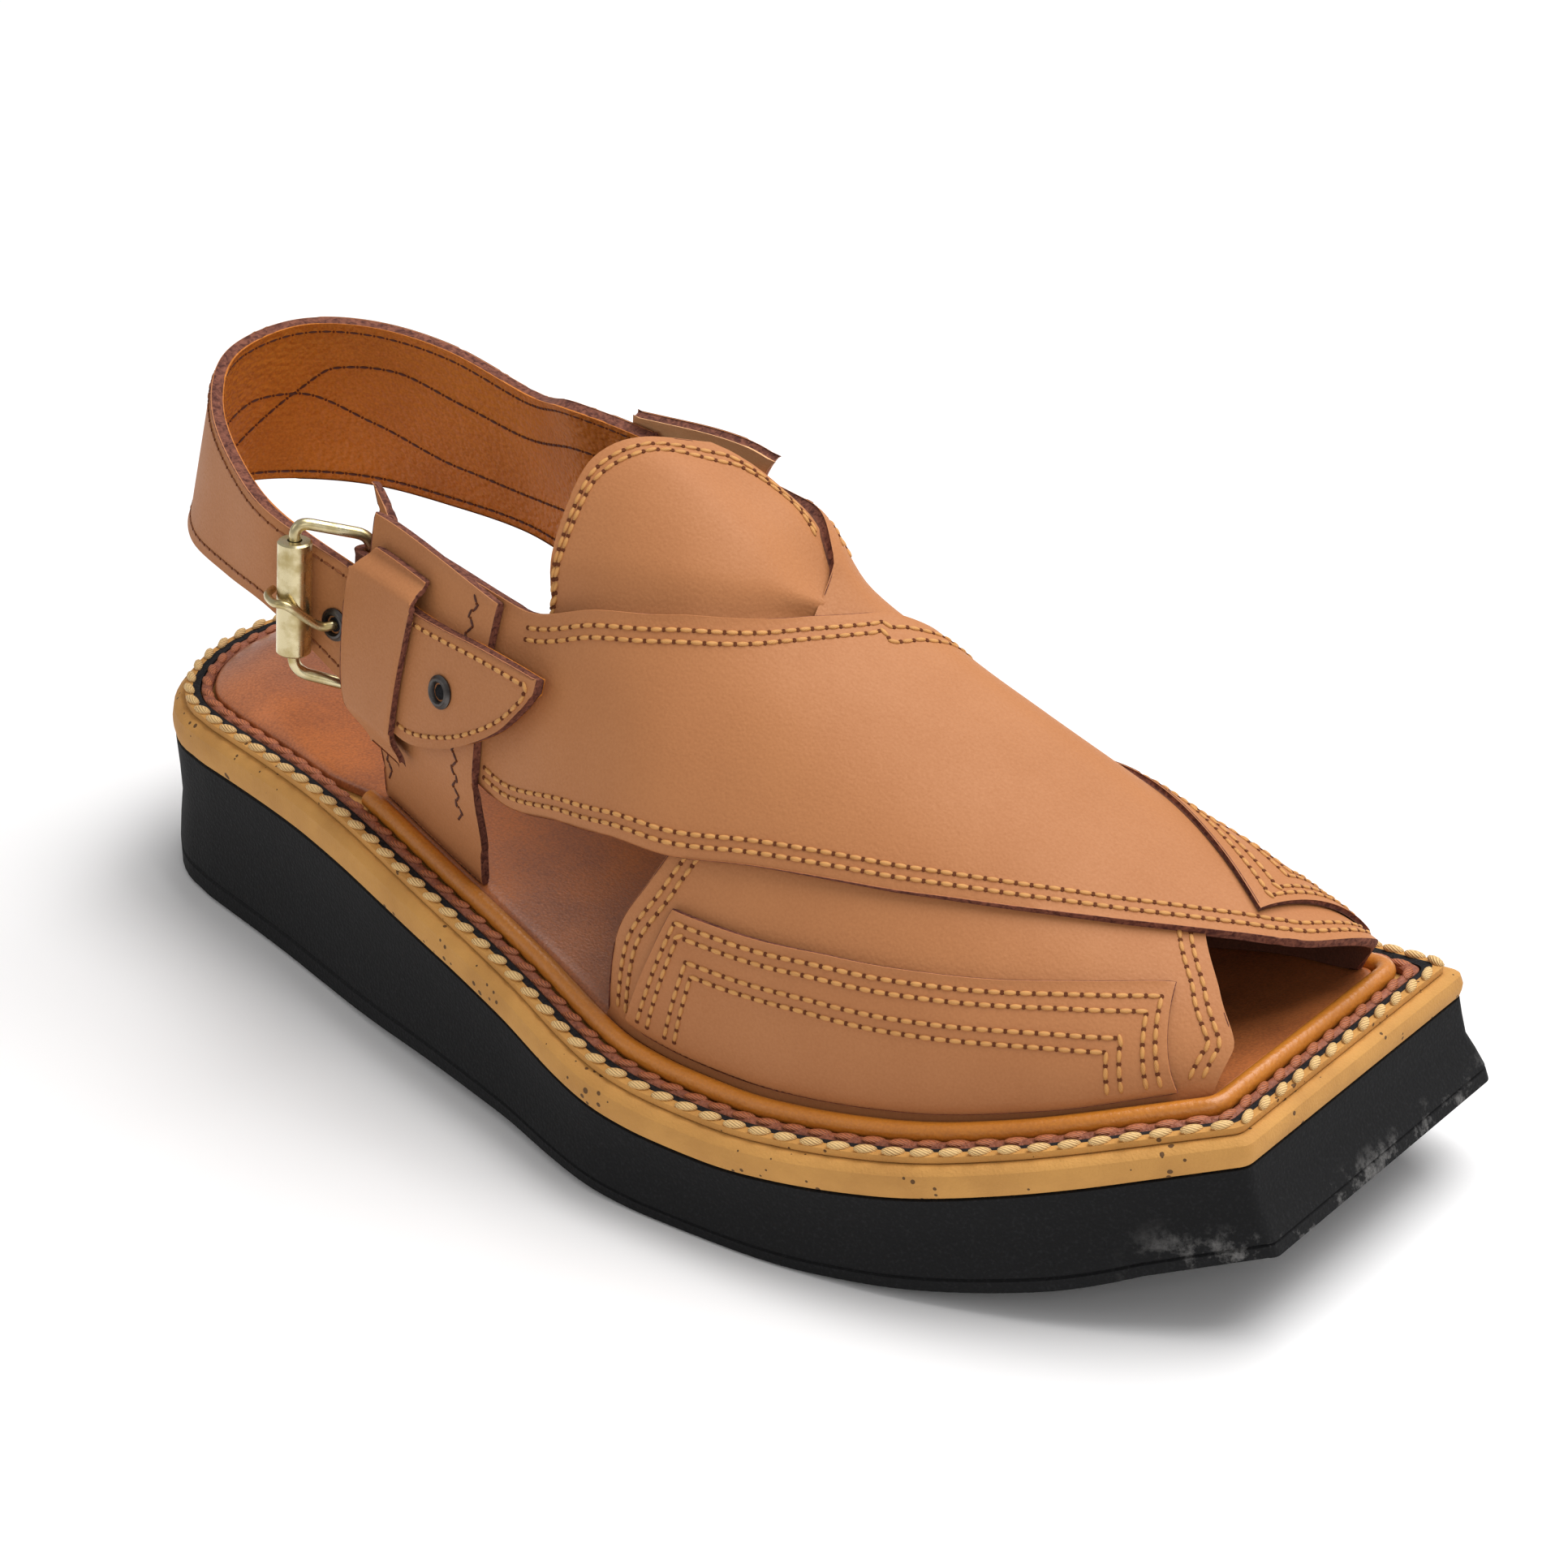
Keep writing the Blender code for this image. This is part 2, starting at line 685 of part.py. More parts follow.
def buckle_loop():
    """The quarter's rear end turned inwards round the bar."""
    reach = WIRE + GAP + TAB_THICK / 2
    middle = bar_offset()
    profile = [(LOOP_END * LENGTH, middle + reach)]
    for t in np.linspace(0, math.pi, 9):
        profile.append((BAR_ALONG * LENGTH - reach * math.sin(t), middle + reach * math.cos(t)))
    profile.append((BAR_ALONG * LENGTH + 0.006, middle - reach))
    profile.append((BAR_ALONG * LENGTH + 0.013, middle - reach))
    profile = np.array(profile)
    along = np.gradient(profile, axis=0)
    along /= np.linalg.norm(along, axis=1)[:, None]
    side = np.stack([along[:, 1], -along[:, 0]], 1) * TAB_THICK / 2
    low, high = bar_ends()
    middle_a = sum(BAR_ROUND) / 2
    centre = on_last(BAR_ALONG * LENGTH, middle_a, 0.0)
    out = on_last(BAR_ALONG * LENGTH, middle_a, 0.001) - centre
    out -= (out @ (high - low)) * (high - low) / ((high - low) @ (high - low))
    out /= np.linalg.norm(out)
    ahead = np.cross(high - low, out)
    ahead /= np.linalg.norm(ahead)
    grids = ([], [])
    for share in np.linspace(0.16, 0.84, 6):
        spot = low + (high - low) * share
        for grid, way in zip(grids, (-1, 1)):
            grid.append(
                [
                    spot + ahead * (x - BAR_ALONG * LENGTH) + out * (off - middle)
                    for x, off in profile + side * way
                ]
            )
    loop = slab("buckle_loop", "upper_leather", *grids)
    tail = band(
        "tail", "upper_leather", TAIL, 6, 2, flat(middle - reach - TAB_THICK / 2),
        flat(middle - reach + TAB_THICK / 2),
    )
    join(loop, tail)


def path_through(points, count):
    """Evenly spaced points on a smooth curve through the given ones."""
    points = [np.array(p, float) for p in points]
    points = [2 * points[0] - points[1]] + points + [2 * points[-1] - points[-2]]
    fine = []
    for i in range(1, len(points) - 2):
        p, q, r, s = points[i - 1 : i + 3]
        for t in np.linspace(0, 1, 16, endpoint=False):
            fine.append(
                0.5
                * (
                    2 * q
                    + (r - p) * t
                    + (2 * p - 5 * q + 4 * r - s) * t * t
                    + (3 * q - p - 3 * r + s) * t**3
                )
            )
    fine.append(points[-2])
    fine = np.array(fine)
    run = np.concatenate([[0], np.cumsum(np.linalg.norm(np.diff(fine[:, :3], axis=0), axis=1))])
    spots = np.linspace(0, run[-1], count)
    return np.array([[np.interp(t, run, fine[:, k]) for k in range(fine.shape[1])] for t in spots])


STRAP_COLUMNS = 7


def strap_rows():
    """Rows of points across the heel strap's inner face, from its inner end round the heel to its tip."""
    shares = np.linspace(0, 1, STRAP_COLUMNS)
    rows = []
    inner, outer = WALL + 1.5 * GAP, WALL + TAB_THICK + 2.7 * GAP
    for along, low, high in INNER_END:
        rows.append([on_last(along * LENGTH, low + (high - low) * t, inner) for t in shares])
    for x0, y0, z0, x1, y1, z1 in HEEL_STRAP:
        low, high = (
            np.array([x * LENGTH, y * BALL_WIDTH, deck(x * LENGTH) + z * INSTEP_RISE])
            for x, y, z in ((x0, y0, z0), (x1, y1, z1))
        )
        rows.append([low + (high - low) * t for t in shares])
    for along, low, high in OUTER_END:
        rows.append([on_last(along * LENGTH, low + (high - low) * t, outer) for t in shares])
    return [np.concatenate(row) for row in rows]


def strap_grid():
    rows = path_through(strap_rows(), 92)
    grid = rows.reshape(len(rows), STRAP_COLUMNS, 3)
    normal = np.cross(np.gradient(grid, axis=0), np.gradient(grid, axis=1))
    return grid, normal / np.linalg.norm(normal, axis=2)[:, :, None]


def on_strap(share, across=0.5):
    """A spot on the heel strap's outer face with its three directions: along, across, outwards."""
    grid, normal = strap_grid()
    row = min(int(round(share * (len(grid) - 1))), len(grid) - 1)
    first = min(int(across * (STRAP_COLUMNS - 1)), STRAP_COLUMNS - 2)
    rest = across * (STRAP_COLUMNS - 1) - first
    low, high = grid[row][first], grid[row][first + 1]
    out = normal[row][first] * (1 - rest) + normal[row][first + 1] * rest
    out /= np.linalg.norm(out)
    up = (high - low) / np.linalg.norm(high - low)
    return low + (high - low) * rest + out * STRAP_THICK, np.cross(up, out), up, out


def rod(name, slot, start, end, radius, sides_round=16):
    return tube(name, slot, [start, end], radius, sides_round)


def ring(name, slot, centre, axis, outer, hole, thick, sides_round=20):
    """A flat washer with a softened outer edge."""
    axis = axis / np.linalg.norm(axis)
    one = np.cross(axis, (0.0, 0.0, 1.0) if abs(axis[2]) < 0.8 else (1.0, 0.0, 0.0))
    one /= np.linalg.norm(one)
    two = np.cross(axis, one)
    rings = []
    soft = 0.4 * min(thick, outer - hole)
    for radius, height in (
        (hole, 0.0), (outer, 0.0), (outer, thick - soft), (outer - soft, thick),
        (hole + soft, thick), (hole, thick - soft),
    ):
        turns = [2 * math.pi * k / sides_round for k in range(sides_round)]
        rings.append(
            [centre + axis * height + radius * (one * math.cos(t) + two * math.sin(t)) for t in turns]
        )
    return loop_strip(name, slot, rings)


def heel_strap():
    grid, normal = strap_grid()
    strap = slab("heel_strap", "upper_leather", grid, grid + normal * STRAP_THICK)
    for share, across in ((PRONG_AT, 0.42), (SPARE_AT, 0.48)):
        spot, _, _, out = on_strap(share, across)
        hole = rod(
            "hole", "upper_leather", spot - out * 2 * STRAP_THICK, spot + out * STRAP_THICK,
            EYELET_HOLE + GAP,
        )
        cut(strap, hole)
    for name, share, across in (("eyelet_prong", PRONG_AT, 0.42), ("eyelet_spare", SPARE_AT, 0.48)):
        spot, _, _, out = on_strap(share, across)
        size = EYELET_RADIUS
        ring(name, "eyelet_steel", spot + out * 1.8 * GAP, out, size, EYELET_HOLE + GAP, EYELET_THICK)


def rounded(corners, radius, steps=4):
    """A closed path round the corners given, each turned with a small arc."""
    path = []
    for i, corner in enumerate(corners):
        back = corners[i - 1] - corner
        ahead = corners[(i + 1) % len(corners)] - corner
        back, ahead = back / np.linalg.norm(back), ahead / np.linalg.norm(ahead)
        for t in np.linspace(0, 1, steps):
            path.append(corner + radius * (back * (1 - t) ** 2 + ahead * t**2))
    return path


def buckle():
    """Wire frame with a loose roller outside the strap and a prong over it."""
    spot, along, up, out = on_strap(ROLLER_AT)
    middle = spot + out * (GAP + ROLLER_RADIUS)
    half = BUCKLE_HEIGHT / 2
    bar = bar_ends()
    corners = [middle - up * half, middle + up * half, bar[1], bar[0]]
    tube("buckle_frame", "buckle_brass", rounded(corners, 0.0035), WIRE, 10, closed=True)
    reach = half - 0.0042
    foot = middle - up * reach
    ring("buckle_roller", "buckle_brass", foot, up, ROLLER_RADIUS, WIRE + GAP, 2 * reach, 20)
    hole, _, _, hole_out = on_strap(PRONG_AT, 0.42)
    over = ROLLER_RADIUS + PRONG + GAP
    path = [
        hole - hole_out * (STRAP_THICK + 0.0006),
        hole + hole_out * 0.0004,
        hole + hole_out * 0.0030 - along * 0.0018,
        middle + out * over + along * 0.0022,
        middle + out * (over + 0.0003) - along * 0.0012,
        middle + out * over * 0.55 - along * over * 0.95,
        middle - out * over * 0.10 - along * (over + 0.0009),
    ]
    path = path_through(path, 22)
    tube("buckle_prong", "buckle_brass", path, lambda t: PRONG * (1 - 0.25 * t), 8)


def keeper():
    base = WALL + TAB_THICK + 2.7 * GAP
    arch = STRAP_THICK + 1.5 * GAP

    def inner(x, a):
        return base + arch * smooth(a, 0.052, 0.078) * (1 - smooth(a, 0.190, 0.212))

    band(
        "keeper", "upper_leather", KEEPER, 22, 5, inner, lambda x, a: inner(x, a) + KEEPER_THICK
    )


def centre_all():
    """Puts the middle of the whole shoe's footprint at the origin."""
    corners = np.array([v.co for made in bpy.data.objects for v in made.data.vertices])
    low, high = corners.min(0), corners.max(0)
    for made in bpy.data.objects:
        for vertex in made.data.vertices:
            vertex.co.x -= (low[0] + high[0]) / 2
            vertex.co.y -= (low[1] + high[1]) / 2
            vertex.co.z -= low[2]


def main():
    for made in list(bpy.data.objects):
        bpy.data.objects.remove(made)
    platform()
    frame_strip("welt", "welt_leather", WELT_INSET, WELT_WIDTH, WELT_THICK, 0.0002)
    frame_strip(
        "rand", "rand_leather", WELT_INSET + WELT_WIDTH + GAP, RAND_WIDTH, RAND_THICK, 0.0007
    )
    insole()
    piping()
    upper()
    throat_flap()
    overlays()
    quarters()
    buckle_loop()
    heel_strap()
    buckle()
    keeper()
    centre_all()


main()
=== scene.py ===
"""Looks of a right peshawari chappal: smooth leather, thread, crepe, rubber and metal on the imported
frame. Metres, toe towards +X, little-toe side towards -Y."""

import math

import bmesh
import bpy
import numpy as np
from mathutils import Matrix, Vector


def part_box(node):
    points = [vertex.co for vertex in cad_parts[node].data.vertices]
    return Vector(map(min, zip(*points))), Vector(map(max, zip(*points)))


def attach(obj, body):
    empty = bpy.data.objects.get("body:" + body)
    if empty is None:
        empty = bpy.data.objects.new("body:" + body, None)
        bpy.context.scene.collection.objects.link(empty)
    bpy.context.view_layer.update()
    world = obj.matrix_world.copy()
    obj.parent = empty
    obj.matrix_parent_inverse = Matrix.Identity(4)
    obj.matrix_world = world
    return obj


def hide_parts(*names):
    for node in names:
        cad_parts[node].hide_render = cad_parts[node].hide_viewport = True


bl_info = {
    "name": "Peshawari chappal looks",
    "version": (1, 0, 0),
    "blender": (4, 5, 0),
    "location": "View3D > Sidebar > Chappal",
    "description": "Builds the leather, thread, sole and buckle of the sandal on its frame",
    "category": "Object",
}

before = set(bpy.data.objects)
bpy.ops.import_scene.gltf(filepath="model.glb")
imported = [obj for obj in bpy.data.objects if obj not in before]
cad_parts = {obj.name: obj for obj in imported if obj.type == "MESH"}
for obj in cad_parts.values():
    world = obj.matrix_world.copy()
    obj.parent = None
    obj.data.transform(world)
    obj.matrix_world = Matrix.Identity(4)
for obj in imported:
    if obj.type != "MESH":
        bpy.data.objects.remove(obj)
FINISHES = {}

# Overall sizes
LENGTH = 0.300
BALL_WIDTH = 0.118
HEEL_BLOCK = 0.0345
CREPE = 0.0075
TOE_SPRING = 0.0178
FRONT_FLARE = 0.0065
SIDE_FLARE = 0.001
HEEL_ROUND = 0.030
CORNER_RADIUS = 0.003
CORNER_ROOM = 0.019
GAP = 0.0003

# Layers on the platform, counted inwards from its edge
BEVEL = 0.0019
WELT_INSET = 0.0028
WELT_WIDTH = 0.0034
WELT_THICK = 0.0016
RAND_WIDTH = 0.0024
RAND_THICK = 0.0024
PIPING_RADIUS = 0.00205
INSOLE_THICK = 0.0026
INSOLE_DOME = 0.0028
INSOLE_HEEL_INSET = 0.0095
WAIST = 0.27

# The last and the leather on it
INSTEP_RISE = 0.091
FULLNESS = 2.1
WALL = 0.0022
CROSSING_SINK = 0.0005
OVERLAY_THICK = 0.0011
TAB_THICK = 0.0018
FLAP_THICK = 0.0015
STRAP_THICK = 0.0026
KEEPER_THICK = 0.0014

# Buckle
WIRE = 0.0013
ROLLER_RADIUS = 0.0037
PRONG = 0.0011
BUCKLE_HEIGHT = 0.034
EYELET_RADIUS = 0.0036
EYELET_HOLE = 0.0017
EYELET_SINK = 0.0012
PRONG_ACROSS, SPARE_ACROSS = 0.42, 0.48
WIRE_BEND = 0.0035
ROLLER_ROOM = 0.0042

# Plan of the platform: along (share of LENGTH), outer and inner edge (shares of BALL_WIDTH)
PLAN = (
    (0.083, -0.297, 0.328),
    (0.200, -0.368, 0.342),
    (0.333, -0.464, 0.350),
    (0.467, -0.544, 0.363),
    (0.583, -0.612, 0.381),
    (0.683, -0.600, 0.397),
    (0.783, -0.556, 0.424),
    (0.873, -0.469, 0.450),
    (1.000, -0.255, 0.404),
)
# Side view of it: along (LENGTH), block top (HEEL_BLOCK), crepe (CREPE), underside (TOE_SPRING)
SIDE = (
    (0.000, 0.95, 1.10, 0.00),
    (0.133, 1.00, 1.05, 0.00),
    (0.220, 1.01, 1.04, 0.00),
    (0.267, 1.00, 1.03, 0.02),
    (0.400, 0.855, 0.95, 0.12),
    (0.533, 0.63, 0.92, 0.09),
    (0.620, 0.52, 0.91, 0.00),
    (0.667, 0.51, 0.90, 0.00),
    (0.715, 0.54, 0.90, 0.00),
    (0.800, 0.64, 0.90, 0.09),
    (0.900, 0.83, 0.90, 0.38),
    (1.000, 1.03, 0.85, 1.00),
)
# The last: along (LENGTH), rise over the deck (INSTEP_RISE), crest line (BALL_WIDTH)
LAST = (
    (0.200, 0.90, 0.000),
    (0.300, 0.96, 0.005),
    (0.400, 1.00, 0.018),
    (0.467, 1.02, 0.030),
    (0.533, 0.95, 0.040),
    (0.583, 0.83, 0.050),
    (0.633, 0.76, 0.060),
    (0.700, 0.655, 0.070),
    (0.773, 0.525, 0.077),
    (0.870, 0.325, 0.080),
    (0.960, 0.13, 0.080),
    (1.000, 0.05, 0.070),
)
# Strap edges on the last: rear edge along (LENGTH) and round (0 outer feather, 1 inner), then the
# front edge the same way
OVER_STRAP = (
    (0.300, 0.230, 0.300, 0.100),
    (0.360, 0.232, 0.360, 0.083),
    (0.417, 0.233, 0.416, 0.076),
    (0.485, 0.277, 0.498, 0.111),
    (0.541, 0.342, 0.580, 0.166),
    (0.582, 0.428, 0.665, 0.219),
    (0.612, 0.500, 0.742, 0.260),
    (0.632, 0.580, 0.812, 0.311),
    (0.638, 0.665, 0.868, 0.366),
    (0.628, 0.752, 0.914, 0.440),
    (0.604, 0.845, 0.947, 0.545),
    (0.577, 0.930, 0.961, 0.780),
    (0.545, 1.000, 0.943, 1.000),
)
UNDER_STRAP = (
    (0.354, 0.712, 0.354, 0.900),
    (0.392, 0.706, 0.394, 0.902),
    (0.438, 0.698, 0.440, 0.902),
    (0.500, 0.660, 0.520, 0.845),
    (0.535, 0.600, 0.599, 0.800),
    (0.560, 0.530, 0.679, 0.755),
    (0.585, 0.460, 0.752, 0.705),
    (0.600, 0.385, 0.812, 0.645),
    (0.604, 0.300, 0.860, 0.560),
    (0.594, 0.220, 0.893, 0.430),
    (0.575, 0.140, 0.929, 0.310),
    (0.552, 0.065, 0.953, 0.160),
    (0.546, 0.000, 0.949, 0.000),
)
# Throat flap: place on the upper strap's rear edge (share of its length), then its free edge along
# and round
FLAP = (
    (0.170, 0.418, 0.244),
    (0.215, 0.431, 0.315),
    (0.255, 0.428, 0.385),
    (0.290, 0.446, 0.452),
    (0.325, 0.478, 0.503),
    (0.362, 0.514, 0.565),
    (0.400, 0.548, 0.525),
    (0.432, 0.583, 0.458),
)
# Side panel laid on the lower strap, and the corner piece on the upper one: as the straps
OUTER_OVERLAY = (
    (0.596, 0.131, 0.569, 0.011),
    (0.642, 0.142, 0.628, 0.011),
    (0.700, 0.162, 0.690, 0.013),
    (0.754, 0.180, 0.750, 0.015),
    (0.824, 0.217, 0.822, 0.020),
    (0.868, 0.254, 0.880, 0.026),
    (0.906, 0.298, 0.932, 0.038),
)
INNER_OVERLAY = (
    (0.595, 0.867, 0.569, 0.989),
    (0.641, 0.832, 0.628, 0.989),
    (0.700, 0.772, 0.690, 0.987),
    (0.756, 0.708, 0.750, 0.985),
    (0.826, 0.615, 0.822, 0.980),
    (0.878, 0.547, 0.890, 0.965),
    (0.911, 0.500, 0.946, 0.915),
)
# The bar at the rear end of the outer quarter, along (LENGTH). The quarter's rear edge follows it.
BAR_ALONG = 0.250
# Rear quarters: rear edge then front edge, from the sole upwards
OUTER_TAB = (
    (BAR_ALONG + 0.031, 0.000, 0.399, 0.000),
    (BAR_ALONG + 0.027, 0.060, 0.399, 0.060),
    (BAR_ALONG + 0.018, 0.160, 0.401, 0.160),
    (BAR_ALONG + 0.013, 0.244, 0.402, 0.2285),
)
INNER_TAB = (
    (0.330, 1.000, 0.405, 1.000),
    (0.331, 0.940, 0.410, 0.940),
    (0.337, 0.830, 0.430, 0.830),
    (0.366, 0.655, 0.490, 0.610),
)
# How much further round, and so lower, the inner quarter's rows lie here than in the solid
INNER_DROP = (0, 0, 0.006, 0.024)
# The leather turned round the buckle's bar, and its tail: along and round
BAR_ROUND = (0.071, 0.214)
LOOP_END = BAR_ALONG + 0.0115
TAIL = (
    (BAR_ALONG + 0.016, 0.180, BAR_ALONG + 0.032, 0.180),
    (BAR_ALONG + 0.006, 0.220, BAR_ALONG + 0.020, 0.220),
    (BAR_ALONG - 0.006, 0.243, BAR_ALONG + 0.005, 0.243),
    (BAR_ALONG - 0.017, 0.268, BAR_ALONG - 0.013, 0.265),
)
# Heel strap's free part: lower edge, then upper edge, as along (LENGTH), across (BALL_WIDTH) and height
# over the deck (INSTEP_RISE)
HEEL_STRAP = (
    (0.225, 0.262, 0.37, 0.235, 0.250, 0.755),
    (0.150, 0.258, 0.375, 0.165, 0.240, 0.81),
    (0.084, 0.224, 0.39, 0.106, 0.204, 0.84),
    (0.036, 0.140, 0.41, 0.066, 0.128, 0.855),
    (0.014, 0.030, 0.43, 0.050, 0.029, 0.845),
    (0.023, -0.070, 0.425, 0.055, -0.060, 0.82),
    (0.058, -0.160, 0.415, 0.082, -0.146, 0.760),
    (0.120, -0.230, 0.42, 0.130, -0.218, 0.695),
    (0.180, -0.277, 0.415, 0.182, -0.269, 0.655),
)
# Its two ends on the last: along (LENGTH), then lower and upper edge round
INNER_END = (
    (0.385, 0.885, 0.690),
    (0.345, 0.888, 0.688),
    (0.305, 0.892, 0.688),
)
OUTER_END = (
    (0.245, 0.090, 0.187),
    (0.270, 0.087, 0.186),
    (0.300, 0.083, 0.184),
    (0.336, 0.080, 0.183),
    (0.367, 0.092, 0.186),
    (0.397, 0.110, 0.190),
    (0.430, 0.138, 0.193),
    (0.450, 0.166, 0.195),
    (0.459, 0.185, 0.196),
)
# Keeper: rear edge, then front edge, from below the strap upwards
KEEPER = (
    (0.288, 0.052, 0.322, 0.052),
    (0.270, 0.068, 0.323, 0.066),
    (0.264, 0.088, 0.325, 0.080),
    (0.263, 0.120, 0.330, 0.120),
    (0.263, 0.160, 0.335, 0.160),
    (0.266, 0.188, 0.337, 0.186),
    (0.272, 0.204, 0.337, 0.200),
    (0.280, 0.216, 0.337, 0.212),
)
# Places on the heel strap as shares of the way to its tip: roller, prong hole, spare eyelet
ROLLER_AT, PRONG_AT, SPARE_AT = 0.703, 0.736, 0.879
PIPING_INSET = WELT_INSET + WELT_WIDTH + RAND_WIDTH + 2 * GAP + PIPING_RADIUS
FEATHER = PIPING_INSET + PIPING_RADIUS + WALL + 3 * GAP
STAND = INSOLE_THICK + 2 * GAP
RAND_STANDS = RAND_THICK * 0.8

# Where the flap slips beneath the straps: its base and its right end along and round, its left end
BASE_SLIP, RIGHT_SLIP, LEFT_SLIP = (0.009, 0.018), (0.014, 0.012), 0.022
# How far the lower strap's rear edge stands up over the flap
CURL = 0.0022

# Rings up the platform's side: share of its height, inset, share of the front flare
PLATFORM_RINGS = (
    (0.000, 0.0006, 0.98), (0.030, -SIDE_FLARE, 0.98), (0.145, -SIDE_FLARE, 0.86),
    (0.152, -SIDE_FLARE + 0.0003, 0.855), (0.165, -SIDE_FLARE + 0.0005, 0.84),
    (0.178, -SIDE_FLARE + 0.0003, 0.825), (0.185, -SIDE_FLARE, 0.82), (0.37, -0.0004, 0.60),
    (0.55, 0.0004, 0.40), (0.78, 0.0003, 0.20), (0.992, 0.0, 0.0), (1.0, 0.0004, 0.0),
)
# Rings up the crepe layer: inset, share of its height
CREPE_RINGS = (
    (0.0004, 0.0), (0.0, 0.05), (-0.0003, 0.25), (-0.0004, 0.45), (-0.0001, 0.66),
    (0.0001, 0.80), (0.0005, 0.87), (BEVEL - 0.0003, 0.985), (BEVEL, 1.0),
)
# Rings over the insole: extra inset, height from its edge's top, share of the heel's dome
INSOLE_RINGS = (
    (0.0, -0.0012, 0.0), (0.0003, -0.0006, 0.0), (0.0009, -0.0002, 0.0), (0.0022, 0.0, 0.15),
    (0.004, 0.0, 0.35), (0.006, 0.0, 0.60), (0.009, 0.0, 0.85), (0.013, 0.0, 0.95),
)
# An eyelet's section: distance from its middle, height over the leather
EYELET_RINGS = (
    (EYELET_HOLE + GAP, -EYELET_SINK), (EYELET_HOLE + GAP, 0.0006), (EYELET_HOLE + 0.0007, 0.0011),
    (EYELET_HOLE + 0.0012, 0.0010), (EYELET_RADIUS - 0.0006, 0.0008), (EYELET_RADIUS, 0.0004),
    (EYELET_RADIUS, 0.0001), (EYELET_HOLE + 0.0008, -EYELET_SINK),
)

# Seams: distances of their rows from the edge, then the thread's length, width and height
REAR_ROWS, FRONT_ROWS, FLAP_ROWS = (0.0031, 0.0054), (0.0025, 0.0047), (0.0030, 0.0054)
PANEL_ROWS, PANEL_FOOT = (0.0025, 0.0050, 0.0095, 0.0120), 0.93
FINE_PITCH, FINE_THREAD = 0.0030, (0.0022, 0.00065, 0.0005)
TIP_PITCH, TIP_END = 0.0028, 0.985
ZIGZAG, ZIGZAG_PITCH, ZIGZAG_THREAD = 0.0042, 0.0021, (0.0021, 0.0006, 0.00045)
WELT_PITCH, WELT_THREAD, WHIP_THREAD = 0.0058, (0.0048, 0.0021, 0.0018), (0.0050, 0.0022, 0.0012)

# Camera: focal length over picture width, place from the last's heel end, and its directions
FOCAL, SENSOR = 5678.985 / 1932, 36.0
CAMERA_PLACE = (0.6869, -0.64546, 0.52738)
CAMERA_RIGHT = (0.7824, 0.6226, -0.0149)
CAMERA_UP = (-0.2956, 0.3923, 0.8710)
CAMERA_AHEAD = (-0.5482, 0.6771, -0.4910)
# Lamps: name, place, the spot they face, size
LAMPS = (
    ("overhead_panel", (0.25, 0.55, 1.35), (0, 0, 0.03), (1.4, 1.1)),
    ("front_panel", (1.1, -0.9, 0.8), (0, 0, 0.05), (0.8, 0.8)),
    ("side_panel_light", (-1.0, -1.1, 0.9), (0, 0, 0.05), (0.8, 0.8)),
)
FLOOR_REACH = 3.0

# Where the last's heel end lies in the frame, read from the crepe layer's box
CREPE_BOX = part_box("midsole")
ORIGIN = np.array([CREPE_BOX[1].x - 0.3003, CREPE_BOX[0].y + 0.0724472, 0.0])
HEEL_STEPS, SIDE_STEPS, CORNER_STEPS = 16, 110, 9


def monotone(xs, ys):
    """A smooth curve through the rows of a table that never overshoots them."""
    xs, ys = np.asarray(xs, float), np.asarray(ys, float)
    step = np.diff(xs)
    rate = np.diff(ys) / step
    slope = np.zeros(len(xs))
    slope[0], slope[-1] = rate[0], rate[-1]
    for i in range(1, len(xs) - 1):
        if rate[i - 1] * rate[i] > 0:
            a, b = 2 * step[i] + step[i - 1], step[i] + 2 * step[i - 1]
            slope[i] = (a + b) / (a / rate[i - 1] + b / rate[i])

    def value(x):
        x = np.clip(x, xs[0], xs[-1])
        i = np.clip(np.searchsorted(xs, x) - 1, 0, len(step) - 1)
        t = (x - xs[i]) / step[i]
        return (
            (1 + 2 * t) * (1 - t) ** 2 * ys[i]
            + t * (1 - t) ** 2 * step[i] * slope[i]
            + t * t * (3 - 2 * t) * ys[i + 1]
            + t * t * (t - 1) * step[i] * slope[i + 1]
        )

    return value


def column(table, index, scale):
    return monotone([row[0] * LENGTH for row in table], [row[index] * scale for row in table])


def smooth(value, low, high):
    t = np.clip((value - low) / (high - low), 0.0, 1.0)
    return t * t * (3 - 2 * t)


outer_edge, inner_edge = column(PLAN, 1, BALL_WIDTH), column(PLAN, 2, BALL_WIDTH)
block_top, crepe = column(SIDE, 1, HEEL_BLOCK), column(SIDE, 2, CREPE)
underside = column(SIDE, 3, TOE_SPRING)
last_rise, crest_line = column(LAST, 1, INSTEP_RISE), column(LAST, 2, BALL_WIDTH)


def deck(x):
    return block_top(x) + crepe(x)


def sides(x):
    """Outer and inner edge of the platform at x, drawn in to a half ellipse at the heel."""
    low, high = outer_edge(x), inner_edge(x)
    share = np.sqrt(np.clip(1 - np.clip(1 - x / HEEL_ROUND, 0, 1) ** 2, 0, 1))
    middle = (low + high) / 2
    return middle + (low - middle) * share, middle + (high - middle) * share


